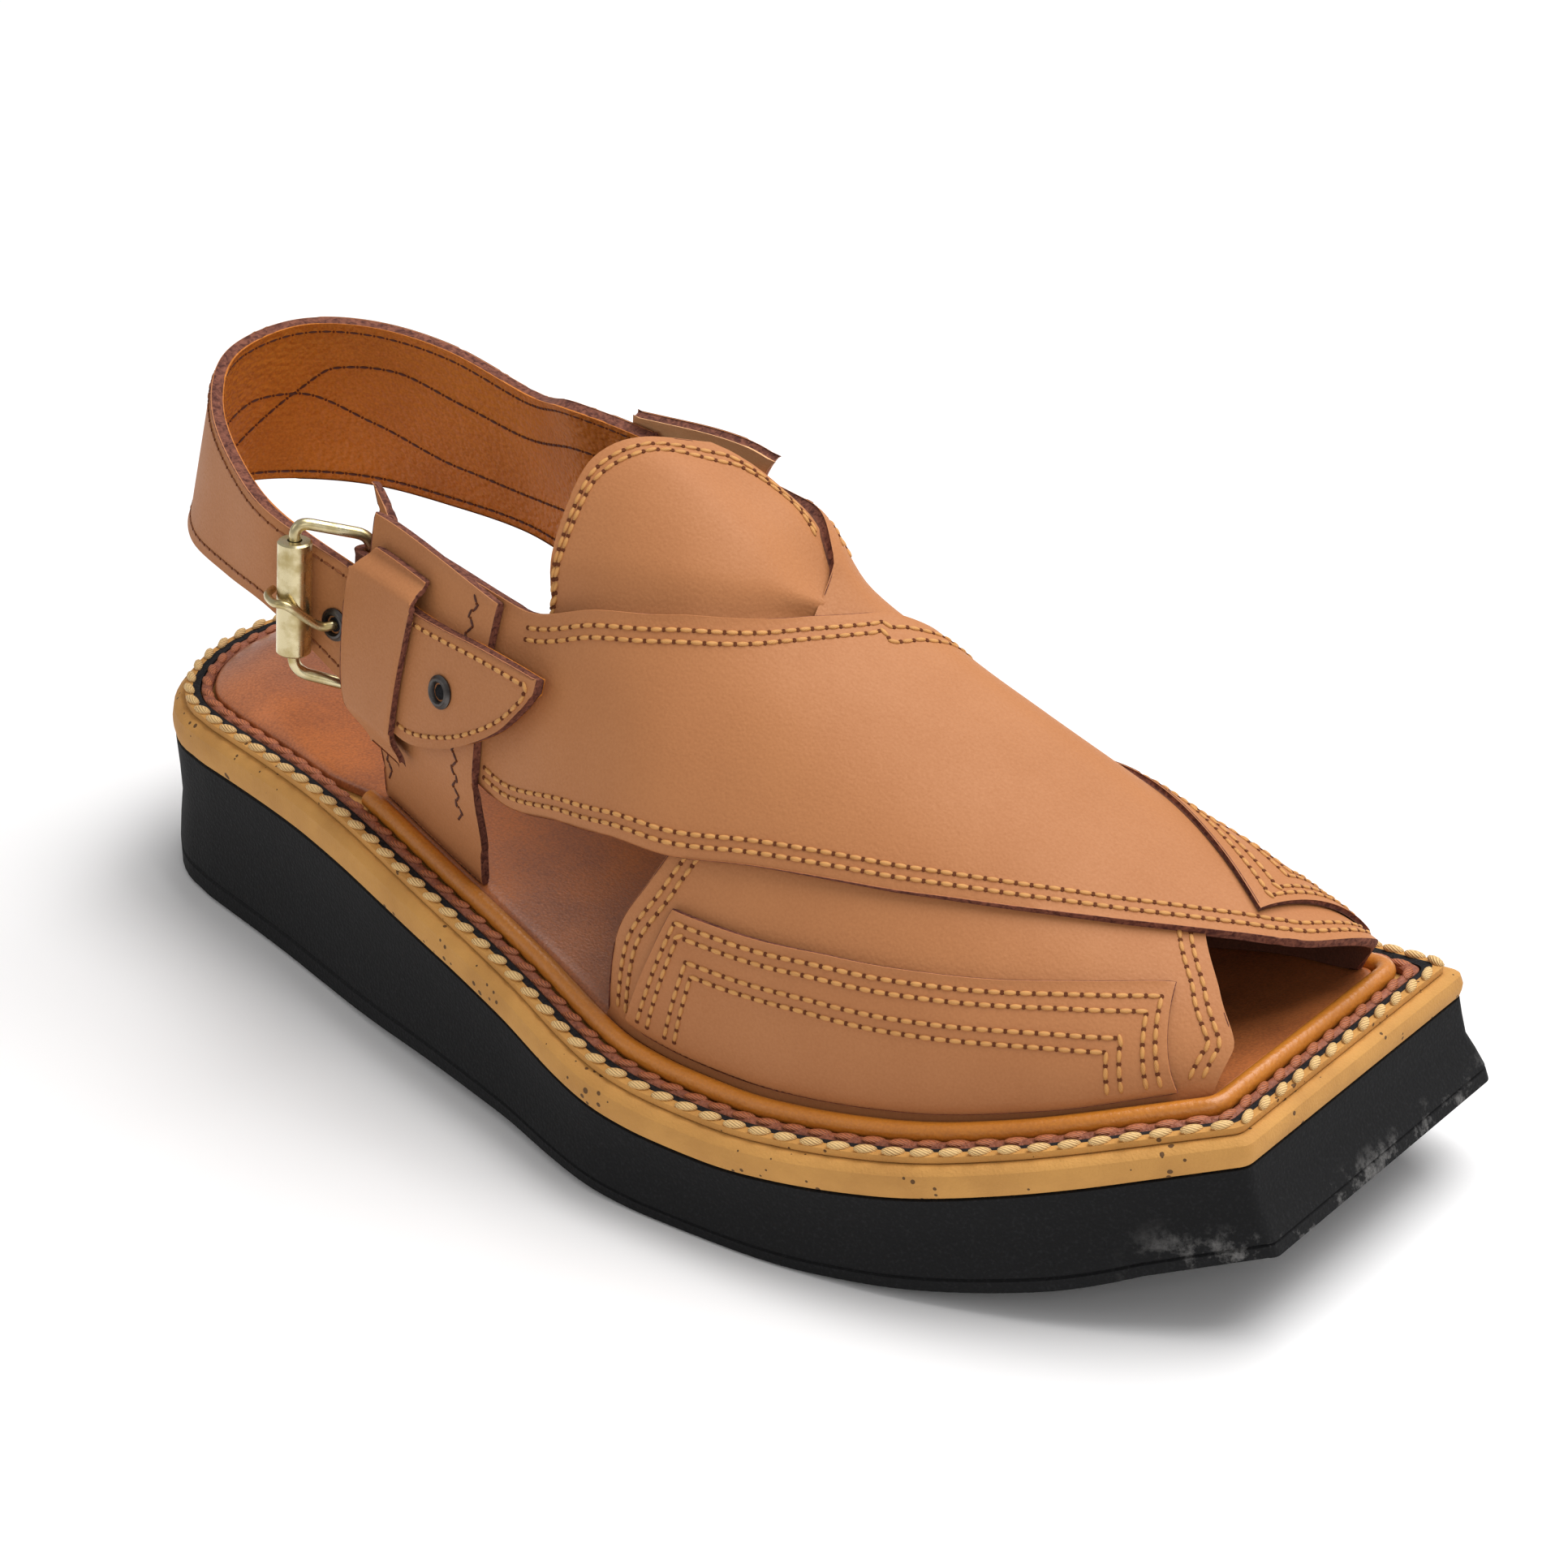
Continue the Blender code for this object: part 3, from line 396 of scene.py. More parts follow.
def plan_ring(inset, corner=CORNER_RADIUS, flare=0.0):
    """The platform's outline moved inwards: outer side heel to toe, then inner side back to the heel."""
    heel = HEEL_ROUND * (1 - np.cos(np.linspace(0.05, 1, HEEL_STEPS) * math.pi / 2))
    along = np.concatenate(
        [heel, np.linspace(HEEL_ROUND, LENGTH - CORNER_ROOM, SIDE_STEPS)[1:], [LENGTH]]
    )
    low, high = sides(along)
    line = np.concatenate([np.stack([along, low], 1), np.stack([along, high], 1)[::-1]])
    edge = np.roll(line, -1, 0) - line
    edge /= np.linalg.norm(edge, axis=1)[:, None]
    normal = np.stack([-edge[:, 1], edge[:, 0]], 1)
    before = np.roll(normal, 1, 0)
    mitre = (normal + before) / (1 + (normal * before).sum(1))[:, None]
    push = inset(line[:, 0])[:, None] if callable(inset) else inset
    moved = line + mitre * push
    moved[:, 0] += flare * smooth(line[:, 0], 0.80 * LENGTH, LENGTH)
    ring = []
    tip = len(along) - 1
    for i, point in enumerate(moved):
        if i not in (tip, tip + 1):
            ring.append(point)
            continue
        back, ahead = moved[i - 1] - point, moved[i + 1] - point
        back, ahead = back / np.linalg.norm(back), ahead / np.linalg.norm(ahead)
        half = math.acos(max(min(float(back @ ahead), 1), -1)) / 2
        reach = corner / math.tan(half)
        centre = point + (back + ahead) / np.linalg.norm(back + ahead) * corner / math.sin(half)
        first, last = point + back * reach - centre, point + ahead * reach - centre
        for t in np.linspace(0, 1, CORNER_STEPS):
            arm = first * (1 - t) + last * t
            ring.append(centre + arm / np.linalg.norm(arm) * corner)
    return np.array(ring)


def raised(ring, height):
    return np.column_stack([ring, height(ring[:, 0])])


def drawn_in(edge, x, way):
    """Where the line one FEATHER inside a side edge passes x."""
    step = 0.004

    def slope(spot):
        inside = np.minimum(spot, LENGTH - step)
        return (edge(inside + step) - edge(inside - step)) / (2 * step)

    from_x = x + way * slope(x) * FEATHER / np.hypot(1, slope(x))
    beyond = np.maximum(from_x - LENGTH, 0.0) * slope(LENGTH)
    return edge(from_x) + beyond + way * FEATHER / np.hypot(1, slope(from_x))


def last_surface(x, a):
    """The last's skin: a runs round it from the outer feather edge over the crest to the inner one."""
    low, high = drawn_in(outer_edge, x, 1), drawn_in(inner_edge, x, -1)
    crest, turn, power = crest_line(x), np.pi * a, 2 / FULLNESS
    across = np.where(a < 0.5, low - crest, high - crest) * np.abs(np.cos(turn)) ** power
    height = deck(x) + STAND + last_rise(x) * np.clip(np.sin(turn), 0.0, 1.0) ** power
    return np.stack([x, crest + across, height], -1)


def unit(vectors):
    return vectors / np.linalg.norm(vectors, axis=-1, keepdims=True)


def outwards(x, a):
    """The last's outward direction, turned level at the feather edges."""
    x, a = np.broadcast_arrays(np.asarray(x, float), np.asarray(a, float))
    step = 1e-3
    low, high = np.maximum(a - 5 * step, 0.0), np.minimum(a + 5 * step, 1.0)
    round_way = unit(last_surface(x, high) - last_surface(x, low))
    along = unit(last_surface(x + step, a) - last_surface(x - step, a))
    foot = 1 - smooth(np.minimum(a, 1 - a), 0.012, 0.03)
    along[..., 2] *= 1 - foot
    upright = np.zeros_like(round_way)
    upright[..., 2] = np.where(a < 0.5, 1.0, -1.0)
    round_way += (upright - round_way) * foot[..., None]
    return unit(np.cross(along, round_way))


def on_last(x, a, offset=0.0):
    """Points on the last, moved outwards."""
    x, a = np.broadcast_arrays(np.asarray(x, float), np.asarray(a, float))
    return last_surface(x, a) + outwards(x, a) * np.asarray(offset)[..., None]


def curve(rows, first, second):
    """Two columns of a table as smooth functions of the share of the way down it."""
    spots = np.linspace(0, 1, len(rows))
    one = monotone(spots, [row[first] for row in rows])
    two = monotone(spots, [row[second] for row in rows])
    return lambda t: (one(t), two(t))


def over_lift(x, a):
    """How far the upper strap has climbed onto the lower one: nothing where it meets the sole."""
    return smooth(x, 0.40 * LENGTH, 0.50 * LENGTH) * smooth(1 - a, 0.015, 0.12)


def bar_offset():
    return WALL + GAP - WIRE - GAP


def bar_ends():
    return [on_last(BAR_ALONG * LENGTH, a, bar_offset()) for a in BAR_ROUND]


def path_through(points, count):
    """Evenly spaced points on a smooth curve through the given ones."""
    points = [np.array(p, float) for p in points]
    points = [2 * points[0] - points[1]] + points + [2 * points[-1] - points[-2]]
    fine = []
    for i in range(1, len(points) - 2):
        p, q, r, s = points[i - 1 : i + 3]
        for t in np.linspace(0, 1, 16, endpoint=False):
            bend = 2 * p - 5 * q + 4 * r - s
            fine.append(0.5 * (2 * q + (r - p) * t + bend * t * t + (3 * q - p - 3 * r + s) * t**3))
    fine.append(points[-2])
    fine = np.array(fine)
    run = np.concatenate([[0], np.cumsum(np.linalg.norm(np.diff(fine[:, :3], axis=0), axis=1))])
    spots = np.linspace(0, run[-1], count)
    return np.array([[np.interp(t, run, fine[:, k]) for k in range(fine.shape[1])] for t in spots])


# Soft dents and swells pressed into the leather by hand: along (LENGTH), round, reach along, reach
# round, height
DENTS = (
    (0.470, 0.200, 0.045, 0.050, -0.0007),
    (0.540, 0.300, 0.050, 0.045, -0.0006),
    (0.640, 0.330, 0.070, 0.060, 0.0006),
    (0.780, 0.450, 0.060, 0.070, -0.0005),
    (0.370, 0.160, 0.030, 0.060, 0.0005),
    (0.800, 0.120, 0.070, 0.050, 0.0005),
    (0.660, 0.085, 0.035, 0.040, -0.0005),
    (0.430, 0.400, 0.040, 0.080, 0.0006),
)


def dent(x, a):
    total = 0.0 * (x + a)
    for along, turn, reach, wide, depth in DENTS:
        far = ((x / LENGTH - along) / reach) ** 2 + ((a - turn) / wide) ** 2
        total = total + bpy.context.scene.chappal_leather.dents * depth * np.exp(-far)
    return total * smooth(np.minimum(a, 1 - a), 0.0, 0.06)


# Mesh helpers


def finished(name, work, nodes, materials, crease=38.0):
    """Turns a bmesh into a piece of the shoe that stands for the nodes given."""
    bmesh.ops.recalc_face_normals(work, faces=work.faces[:])
    mesh = bpy.data.meshes.new(name)
    work.to_mesh(mesh)
    work.free()
    for made in materials:
        mesh.materials.append(made)
    mesh.shade_smooth()
    mesh.set_sharp_from_angle(angle=math.radians(crease))
    piece = bpy.data.objects.new(name, mesh)
    bpy.context.scene.collection.objects.link(piece)
    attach(piece, "root")
    if nodes:
        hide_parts(*nodes)
    return piece


def sheet(name, nodes, materials, counts, place, soft=0.0004):
    """A leather piece: a grid set out on its face, extruded to its back, with the rim softened."""
    work = bmesh.new()
    uv = work.loops.layers.uv.new("run")
    share_u = work.verts.layers.float.new("share_u")
    share_v = work.verts.layers.float.new("share_v")
    bmesh.ops.create_grid(work, x_segments=counts[0], y_segments=counts[1], size=0.5)
    reach = max(vert.co.x for vert in work.verts)
    for vert in work.verts:
        vert[share_u] = 0.5 + 0.5 * vert.co.x / reach
        vert[share_v] = 0.5 + 0.5 * vert.co.y / reach
    made = bmesh.ops.extrude_face_region(work, geom=work.faces[:])
    back = {item for item in made["geom"] if isinstance(item, bmesh.types.BMVert)}
    for inside in (False, True):
        verts = [vert for vert in work.verts if (vert in back) == inside]
        u = np.array([vert[share_u] for vert in verts])
        v = np.array([vert[share_v] for vert in verts])
        for vert, point in zip(verts, place(u, v, inside) + ORIGIN):
            vert.co = point
    for face in work.faces:
        held = sum(vert in back for vert in face.verts)
        face.material_index = 0 if held == 0 else (2 if held == len(face.verts) else 1)
        for loop in face.loops:
            loop[uv].uv = (loop.vert[share_u], loop.vert[share_v])
    rim = [
        edge for edge in work.edges if len({face.material_index for face in edge.link_faces}) == 2
    ]
    bmesh.ops.bevel(
        work, geom=rim, offset=soft, segments=2, affect="EDGES", profile=0.5, material=-1
    )
    return finished(name, work, nodes, materials)


def loft(name, nodes, materials, rings, ends, crease, bands=None):
    """Rings joined by extruding edge loops. Its ends: "round" joins last to first, "fan" caps each
    with one face, "strips" caps each with faces across."""
    work = bmesh.new()
    place = work.verts.layers.int.new("place")
    run = work.verts.layers.float.new("run_share")
    uv = work.loops.layers.uv.new("run")
    count = len(rings[0])
    bmesh.ops.create_circle(work, segments=count, radius=1.0)
    for index, vert in enumerate(work.verts):
        vert[place] = index
        vert.co = np.array(rings[0][index]) + ORIGIN
    first = edges = work.edges[:]
    for level, ring in enumerate(rings[1:], 1):
        made = bmesh.ops.extrude_edge_only(work, edges=edges)["geom"]
        for item in made:
            if isinstance(item, bmesh.types.BMVert):
                item.co = np.array(ring[item[place]]) + ORIGIN
                item[run] = level / (len(rings) - 1)
            elif isinstance(item, bmesh.types.BMFace) and bands:
                item.material_index = bands[level - 1]
        made_edges = [item for item in made if isinstance(item, bmesh.types.BMEdge)]
        edges = [edge for edge in made_edges if len(edge.link_faces) == 1]
    if ends == "round":
        bmesh.ops.bridge_loops(work, edges=first + edges)
    elif ends == "fan":
        for loop in (first, edges):
            bmesh.ops.contextual_create(work, geom=loop)
    elif ends == "strips":
        for loop in (first, edges):
            halves = []
            for edge in loop:
                far = [vert[place] >= count // 2 for vert in edge.verts]
                if far[0] == far[1]:
                    halves.append(edge)
            bmesh.ops.bridge_loops(work, edges=halves)
    for face in work.faces:
        for item in face.loops:
            item[uv].uv = (item.vert[run], item.vert[place] / count)
    return finished(name, work, nodes, materials, crease)


def round_rings(path, radius, count, closed=False):
    """Circles set square to a path of points."""
    path = [np.array(p, float) for p in path]
    rings, up = [], None
    for i, p in enumerate(path):
        ahead = path[(i + 1) % len(path)] if closed or i < len(path) - 1 else p
        behind = path[i - 1] if closed or i > 0 else p
        along = unit(ahead - behind)
        if up is None:
            up = np.cross(along, (0.0, 0.0, 1.0))
            if np.linalg.norm(up) < 0.3:
                up = np.cross(along, (0.0, 1.0, 0.0))
        up = unit(up - along * (up @ along))
        side = np.cross(along, up)
        size = radius(i / (len(path) - 1)) if callable(radius) else radius
        turns = [2 * math.pi * k / count for k in range(count)]
        rings.append([p + size * (up * math.cos(t) + side * math.sin(t)) for t in turns])
    return rings


def turned(centre, axis, one, two, section, count):
    """Rings of a piece turned round an axis, from its section as pairs of radius and height."""
    turns = [2 * math.pi * k / count for k in range(count)]
    return [
        [centre + axis * height + radius * (one * math.cos(t) + two * math.sin(t)) for t in turns]
        for radius, height in section
    ]


def placed(spot, size, lift=0.0, twist=0.0):
    """The matrix that sets a small shape on a spot (centre, along, outwards) at the size given."""
    centre, along, out = spot
    along = unit(along - out * (along @ out))
    across = np.cross(out, along)
    lengthways = along * math.cos(twist) + across * math.sin(twist)
    sideways = across * math.cos(twist) - along * math.sin(twist)
    ends = (lengthways * size[0], sideways * size[1], out * size[2], centre + out * lift + ORIGIN)
    rows = [[end[i] for end in ends] for i in range(3)]
    return Matrix([*rows, [0, 0, 0, 1]])


def beads(name, material, spots, size, lift=0.0, twist=0.0):
    """Thread lumps, each a small ball drawn out along the seam."""
    work = bmesh.new()
    work.loops.layers.uv.new("run")
    for spot in spots:
        matrix = placed(spot, size, lift, twist)
        matrix = matrix @ Matrix.Rotation(math.pi / 2, 4, "Y")
        bmesh.ops.create_uvsphere(
            work, u_segments=8, v_segments=6, radius=0.5, matrix=matrix, calc_uvs=True
        )
    return finished(name, work, (), [material], 80)


def pricks(name, material, spots, size, lift=0.00006):
    """Needle holes: thin dark discs pressed on the leather."""
    work = bmesh.new()
    for spot in spots:
        bmesh.ops.create_cone(
            work, cap_ends=True, segments=8, radius1=0.5, radius2=0.42, depth=1.0,
            matrix=placed(spot, size, lift),
        )
    return finished(name, work, (), [material], 60)


# Seams


def spaced(path, pitch, closed=False):
    """Spots at an even pitch on a path (points, outward directions), and the holes between them."""
    points, outs = path
    if closed:
        points, outs = np.vstack([points, points[:1]]), np.vstack([outs, outs[:1]])
    run = np.concatenate([[0], np.cumsum(np.linalg.norm(np.diff(points, axis=0), axis=1))])
    count = max(int(run[-1] / pitch), 1)
    step = run[-1] / count

    def at(distance, values):
        return np.array([np.interp(distance, run, values[:, k]) for k in range(3)])

    lumps, holes = [], []
    for i in range(count):
        middle = (i + 0.5) * step
        along = at(middle + 0.3 * step, points) - at(middle - 0.3 * step, points)
        lumps.append((at(middle, points), along, unit(at(middle, outs))))
        holes.append((at(i * step, points), along, unit(at(i * step, outs))))
    return lumps, holes


class Band:
    """A piece on the last between two edges given as a table, with the offsets of its two faces."""

    def __init__(self, rows, inner, outer):
        self.one, self.two = curve(rows, 0, 1), curve(rows, 2, 3)
        self.inner, self.outer = inner, outer

    def spot(self, t, s):
        (x0, a0), (x1, a1) = self.one(t), self.two(t)
        return (x0 + (x1 - x0) * s) * LENGTH, a0 + (a1 - a0) * s

    def place(self, t, s, inside):
        x, a = self.spot(t, s)
        return on_last(x, a, (self.inner if inside else self.outer)(x, a) + dent(x, a))

    def width(self, t):
        low, middle, high = (on_last(*self.spot(t, s + 0 * t)) for s in (0.0, 0.5, 1.0))
        first, second = (np.linalg.norm(q - p, axis=-1) for p, q in ((low, middle), (middle, high)))
        return first + second

    def span(self, s):
        line = on_last(*self.spot(np.linspace(0, 1, 25), s))
        return np.linalg.norm(np.diff(line, axis=0), axis=1).sum()

    def seam(self, t, s, lift=0.0):
        """A path on the outer face through places given as two arrays."""
        x, a = self.spot(t, s)
        return on_last(x, a, self.outer(x, a) + dent(x, a) + lift), outwards(x, a)

    def beside(self, distance, front, low=0.0, high=1.0):
        """A seam that keeps its distance from the rear or the front edge."""
        t = np.linspace(low, high, 90)
        edge, step = (1.0, -0.03) if front else (0.0, 0.03)
        line = on_last(*self.spot(t, edge))
        across = on_last(*self.spot(t, edge + step)) - line
        along = unit(np.gradient(line, axis=0))
        reach = np.linalg.norm(np.cross(along, across), axis=1)
        reach = np.maximum(reach, 0.5 * np.linalg.norm(across, axis=1))
        return self.seam(t, edge + step * distance / reach)

    def round_three(self, distance):
        """A seam that goes up one end, along the rear edge and down the other end."""
        end = distance / self.span(0.4)
        share = distance / self.width(np.array([end, 0.5, 1 - end]))
        t_middle = np.linspace(end, 1 - end, 60)
        t = np.concatenate([np.full(20, end), t_middle[1:-1], np.full(20, 1 - end)])
        s = np.concatenate(
            [
                np.linspace(PANEL_FOOT, share[0], 20),
                distance / self.width(t_middle[1:-1]),
                np.linspace(share[2], PANEL_FOOT, 20),
            ]
        )
        return self.seam(t, s)


class Sling:
    """The heel strap as a grid from its inner end round the heel to its tip."""

    ROWS, COLUMNS = 260, 7

    def __init__(self):
        shares = np.linspace(0, 1, self.COLUMNS)
        rows = []
        inner, outer = WALL + 1.5 * GAP, WALL + TAB_THICK + 2.7 * GAP
        for along, low, high in INNER_END:
            rows.append([on_last(along * LENGTH, low + (high - low) * t, inner) for t in shares])
        for x0, y0, z0, x1, y1, z1 in HEEL_STRAP:
            low, high = (
                np.array([x * LENGTH, y * BALL_WIDTH, deck(x * LENGTH) + z * INSTEP_RISE])
                for x, y, z in ((x0, y0, z0), (x1, y1, z1))
            )
            rows.append([low + (high - low) * t for t in shares])
        for along, low, high in OUTER_END:
            rows.append([on_last(along * LENGTH, low + (high - low) * t, outer) for t in shares])
        rows = path_through([np.concatenate(row) for row in rows], self.ROWS)
        self.grid = rows.reshape(self.ROWS, self.COLUMNS, 3)
        normal = np.cross(np.gradient(self.grid, axis=0), np.gradient(self.grid, axis=1))
        self.normal = unit(normal)

    def read(self, values, share, across):
        row, col = share * (self.ROWS - 1), across * (self.COLUMNS - 1)
        i = np.clip(row.astype(int), 0, self.ROWS - 2)
        j = np.clip(col.astype(int), 0, self.COLUMNS - 2)
        f, g = (row - i)[..., None], (col - j)[..., None]
        return (
            values[i, j] * (1 - f) * (1 - g)
            + values[i + 1, j] * f * (1 - g)
            + values[i, j + 1] * (1 - f) * g
            + values[i + 1, j + 1] * f * g
        )

    def path(self, share, across, offset):
        share, across = np.broadcast_arrays(np.asarray(share, float), np.asarray(across, float))
        out = unit(self.read(self.normal, share, across))
        return self.read(self.grid, share, across) + out * offset, out

    def place(self, share, across, inside):
        return self.path(share, across, 0.0 if inside else STRAP_THICK)[0]

    def width(self, share):
        low, high = (self.read(self.grid, share, across + 0 * share) for across in (0.0, 1.0))
        return np.linalg.norm(high - low, axis=-1)

    def at(self, share, across=0.5):
        """A spot on the outer face with its directions: along, across, outwards."""
        spot, out = self.path(share, across, STRAP_THICK)
        up = unit(self.path(share, across + 0.05, 0.0)[0] - self.path(share, across - 0.05, 0.0)[0])
        return spot, np.cross(up, out), up, out


def flat(offset):
    return lambda x, a: offset + 0 * x


def bands():
    """The pieces that lie on the last, by name."""
    rise, low, tab = WALL - CROSSING_SINK, WALL + GAP, WALL + TAB_THICK + 2.7 * GAP
    seam = curve(OVER_STRAP, 0, 1)
    seam_turn = column(OVER_STRAP[:8], 1, 1.0)
    crest_rows = UNDER_STRAP[6:1:-1]
    crest_edge = monotone([row[1] for row in crest_rows], [row[0] * LENGTH for row in crest_rows])
    flap_rows = []
    for t, x, a in FLAP:
        left, right = LEFT_SLIP * (1 - smooth(t, 0.17, 0.215)), smooth(t, 0.33, 0.362)
        base = (seam(t)[0] + BASE_SLIP[0], seam(t)[1] - BASE_SLIP[1])
        flap_rows.append((*base, x + left + RIGHT_SLIP[0] * right, a + RIGHT_SLIP[1] * right))
    low_tab = [
        (x0, a0 + drop, x1, a1 + drop) for drop, (x0, a0, x1, a1) in zip(INNER_DROP, INNER_TAB)
    ]

    def over(x, a):
        return rise * over_lift(x, a)

    def flap(x, a):
        # The free part lies on the lower strap, and its right end and its base slip under the straps.
        free = low - 0.0007 * (1 - smooth(a, 0.30, 0.46))
        under = np.maximum(smooth(seam_turn(x) + 0.05 - a, 0.0, 0.05), smooth(a, 0.42, 0.53))
        sunk = over(x, a) * (1 - smooth(a, 0.40, 0.46)) + curl(x, a) - FLAP_THICK - GAP
        return free + (sunk - free) * under

    def curl(x, a):
        # The lower strap's rear edge stands off the last where the flap lies beneath it.
        near = 1 - smooth(x - crest_edge(a), 0.0, 0.05 * LENGTH)
        return CURL * near * smooth(a, 0.45, 0.52) * (1 - smooth(a, 0.66, 0.74))

    def outer_tab(x, a):
        return low * smooth(a, 0.02, 0.085)

    def inner_tab(x, a):
        above = WALL + STRAP_THICK + 3 * GAP
        return low * smooth(1 - a, 0.02, 0.085) + (above - low) * smooth(1 - a, 0.062, 0.100)

    def arch(x, a):
        free = smooth(a, 0.052, 0.078) * (1 - smooth(a, 0.190, 0.212))
        return tab + (STRAP_THICK + 1.5 * GAP) * free

    def layer(rows, inner, thick):
        return Band(rows, inner, lambda x, a: inner(x, a) + thick)

    middle = bar_offset() - WIRE - GAP - TAB_THICK
    return {
        "under": layer(UNDER_STRAP, curl, WALL),
        "over": layer(OVER_STRAP, over, WALL),
        "flap": layer(flap_rows, flap, FLAP_THICK),
        "panel": layer(OUTER_OVERLAY, flat(low), OVERLAY_THICK),
        "corner": layer(INNER_OVERLAY, lambda x, a: over(x, a) + low, OVERLAY_THICK),
        "outer_tab": layer(OUTER_TAB, outer_tab, TAB_THICK),
        "inner_tab": layer(low_tab, inner_tab, TAB_THICK),
        "keeper": layer(KEEPER, arch, KEEPER_THICK),
        "tail": layer(TAIL, flat(middle), TAB_THICK),
    }


# Materials


def srgb(red, green, blue):
    """An 8-bit colour as the linear values that a shader takes."""
    values = [c / 255 for c in (red, green, blue)]
    return (*[c / 12.92 if c < 0.04 else ((c + 0.055) / 1.055) ** 2.4 for c in values], 1.0)


def node(tree, kind, links=None, **settings):
    """Adds a node. Links are input name or number to value or socket."""
    made = tree.nodes.new("ShaderNode" + kind)
    for key, value in settings.items():
        setattr(made, key, value)
    for key, value in (links or {}).items():
        if isinstance(value, bpy.types.NodeSocket):
            tree.links.new(value, made.inputs[key])
        else:
            made.inputs[key].default_value = value
    return made


def blend(tree, share, first, second):
    """The colour between two, by a share from 0 to 1."""
    return node(tree, "Mix", {0: share, 6: first, 7: second}, data_type="RGBA").outputs[2]


def ramp(tree, value, low, high, start=0.0, end=1.0):
    limits = {"From Min": low, "From Max": high, "To Min": start, "To Max": end}
    return node(tree, "MapRange", {"Value": value, **limits}).outputs[0]


def maths(tree, operation, first, second):
    return node(tree, "Math", {0: first, 1: second}, operation=operation).outputs[0]


FLOAT, COLOUR = "NodeSocketFloat", "NodeSocketColor"


def new_group(name, inputs, outputs):
    tree = bpy.data.node_groups.get(name)
    if tree:
        return tree, None, None
    tree = bpy.data.node_groups.new(name, "ShaderNodeTree")
    for label, value in inputs.items():
        kind = COLOUR if isinstance(value, tuple) else FLOAT
        tree.interface.new_socket(label, in_out="INPUT", socket_type=kind).default_value = value
    for label, kind in outputs.items():
        tree.interface.new_socket(label, in_out="OUTPUT", socket_type=kind)
    return tree, tree.nodes.new("NodeGroupInput").outputs, tree.nodes.new("NodeGroupOutput").inputs


def mottle_group():
    """Slow drift from a main to a deeper colour, with fine flecks in it and a gloss that follows."""
    tree, given, out = new_group(
        "Leather mottle",
        {
            "Main": (0.4, 0.2, 0.1, 1.0), "Deep": (0.2, 0.1, 0.05, 1.0), "Patch scale": 40.0,
            "Fleck scale": 1500.0, "Amount": 0.4, "Smooth": 0.4, "Rough": 0.6,
        },
        {"Color": COLOUR, "Roughness": FLOAT},
    )
    if given is None:
        return tree
    place = node(tree, "TexCoord").outputs["Object"]
    patch = node(tree, "TexNoise", {"Vector": place, "Scale": given["Patch scale"], "Detail": 4.0})
    fleck = node(tree, "TexNoise", {"Vector": place, "Scale": given["Fleck scale"], "Detail": 2.0})
    both = maths(tree, "ADD", patch.outputs["Fac"], fleck.outputs["Fac"])
    mask = ramp(tree, both, 0.75, 1.3)
    share = maths(tree, "MULTIPLY", mask, given["Amount"])
    tree.links.new(blend(tree, share, given["Main"], given["Deep"]), out["Color"])
    gloss = node(
        tree, "MapRange", {"Value": mask, "To Min": given["Smooth"], "To Max": given["Rough"]}
    )
    tree.links.new(gloss.outputs[0], out["Roughness"])
    return tree


def grain_group():
    """The height of leather's pores and creases: cells with soft valleys, and fine noise."""
    tree, given, out = new_group(
        "Hide grain", {"Cell scale": 1200.0, "Cells": 1.0, "Fine scale": 4000.0, "Fine": 0.4},
        {"Height": FLOAT},
    )
    if given is None:
        return tree
    place = node(tree, "TexCoord").outputs["Object"]
    bend = node(tree, "TexNoise", {"Vector": place, "Scale": 500.0, "Detail": 2.0})
    shift = node(tree, "VectorMath", {0: bend.outputs["Color"], 3: 0.0008}, operation="SCALE")
    moved = node(tree, "VectorMath", {0: place, 1: shift.outputs[0]}, operation="ADD").outputs[0]
    cells = node(
        tree, "TexVoronoi", {"Vector": moved, "Scale": given["Cell scale"], "Smoothness": 0.5},
        feature="SMOOTH_F1",
    )
    fine = node(tree, "TexNoise", {"Vector": place, "Scale": given["Fine scale"], "Detail": 3.0})
    peak = maths(tree, "SUBTRACT", 1.0, cells.outputs["Distance"])
    dome = maths(tree, "MULTIPLY", peak, given["Cells"])
    total = maths(tree, "ADD", dome, maths(tree, "MULTIPLY", fine.outputs["Fac"], given["Fine"]))
    tree.links.new(total, out["Height"])
    return tree


def shader(name, color, roughness, metallic=0.0, specular=0.5, coat=0.0):
    """A new material and its tree, with the plain values on the shader's own sockets."""
    made = bpy.data.materials.new(name)
    made.use_nodes = True
    made.diffuse_color = color
    surface = made.node_tree.nodes["Principled BSDF"]
    values = {
        "Base Color": color, "Roughness": roughness, "Metallic": metallic,
        "Specular IOR Level": specular, "Coat Weight": coat, "Coat Roughness": 0.2,
    }
    for key, value in values.items():
        surface.inputs[key].default_value = value
    return made, made.node_tree, surface.inputs


def bumped(tree, sockets, height, strength, distance):
    bump = node(tree, "Bump", {"Height": height, "Strength": strength, "Distance": distance})
    tree.links.new(bump.outputs[0], sockets["Normal"])


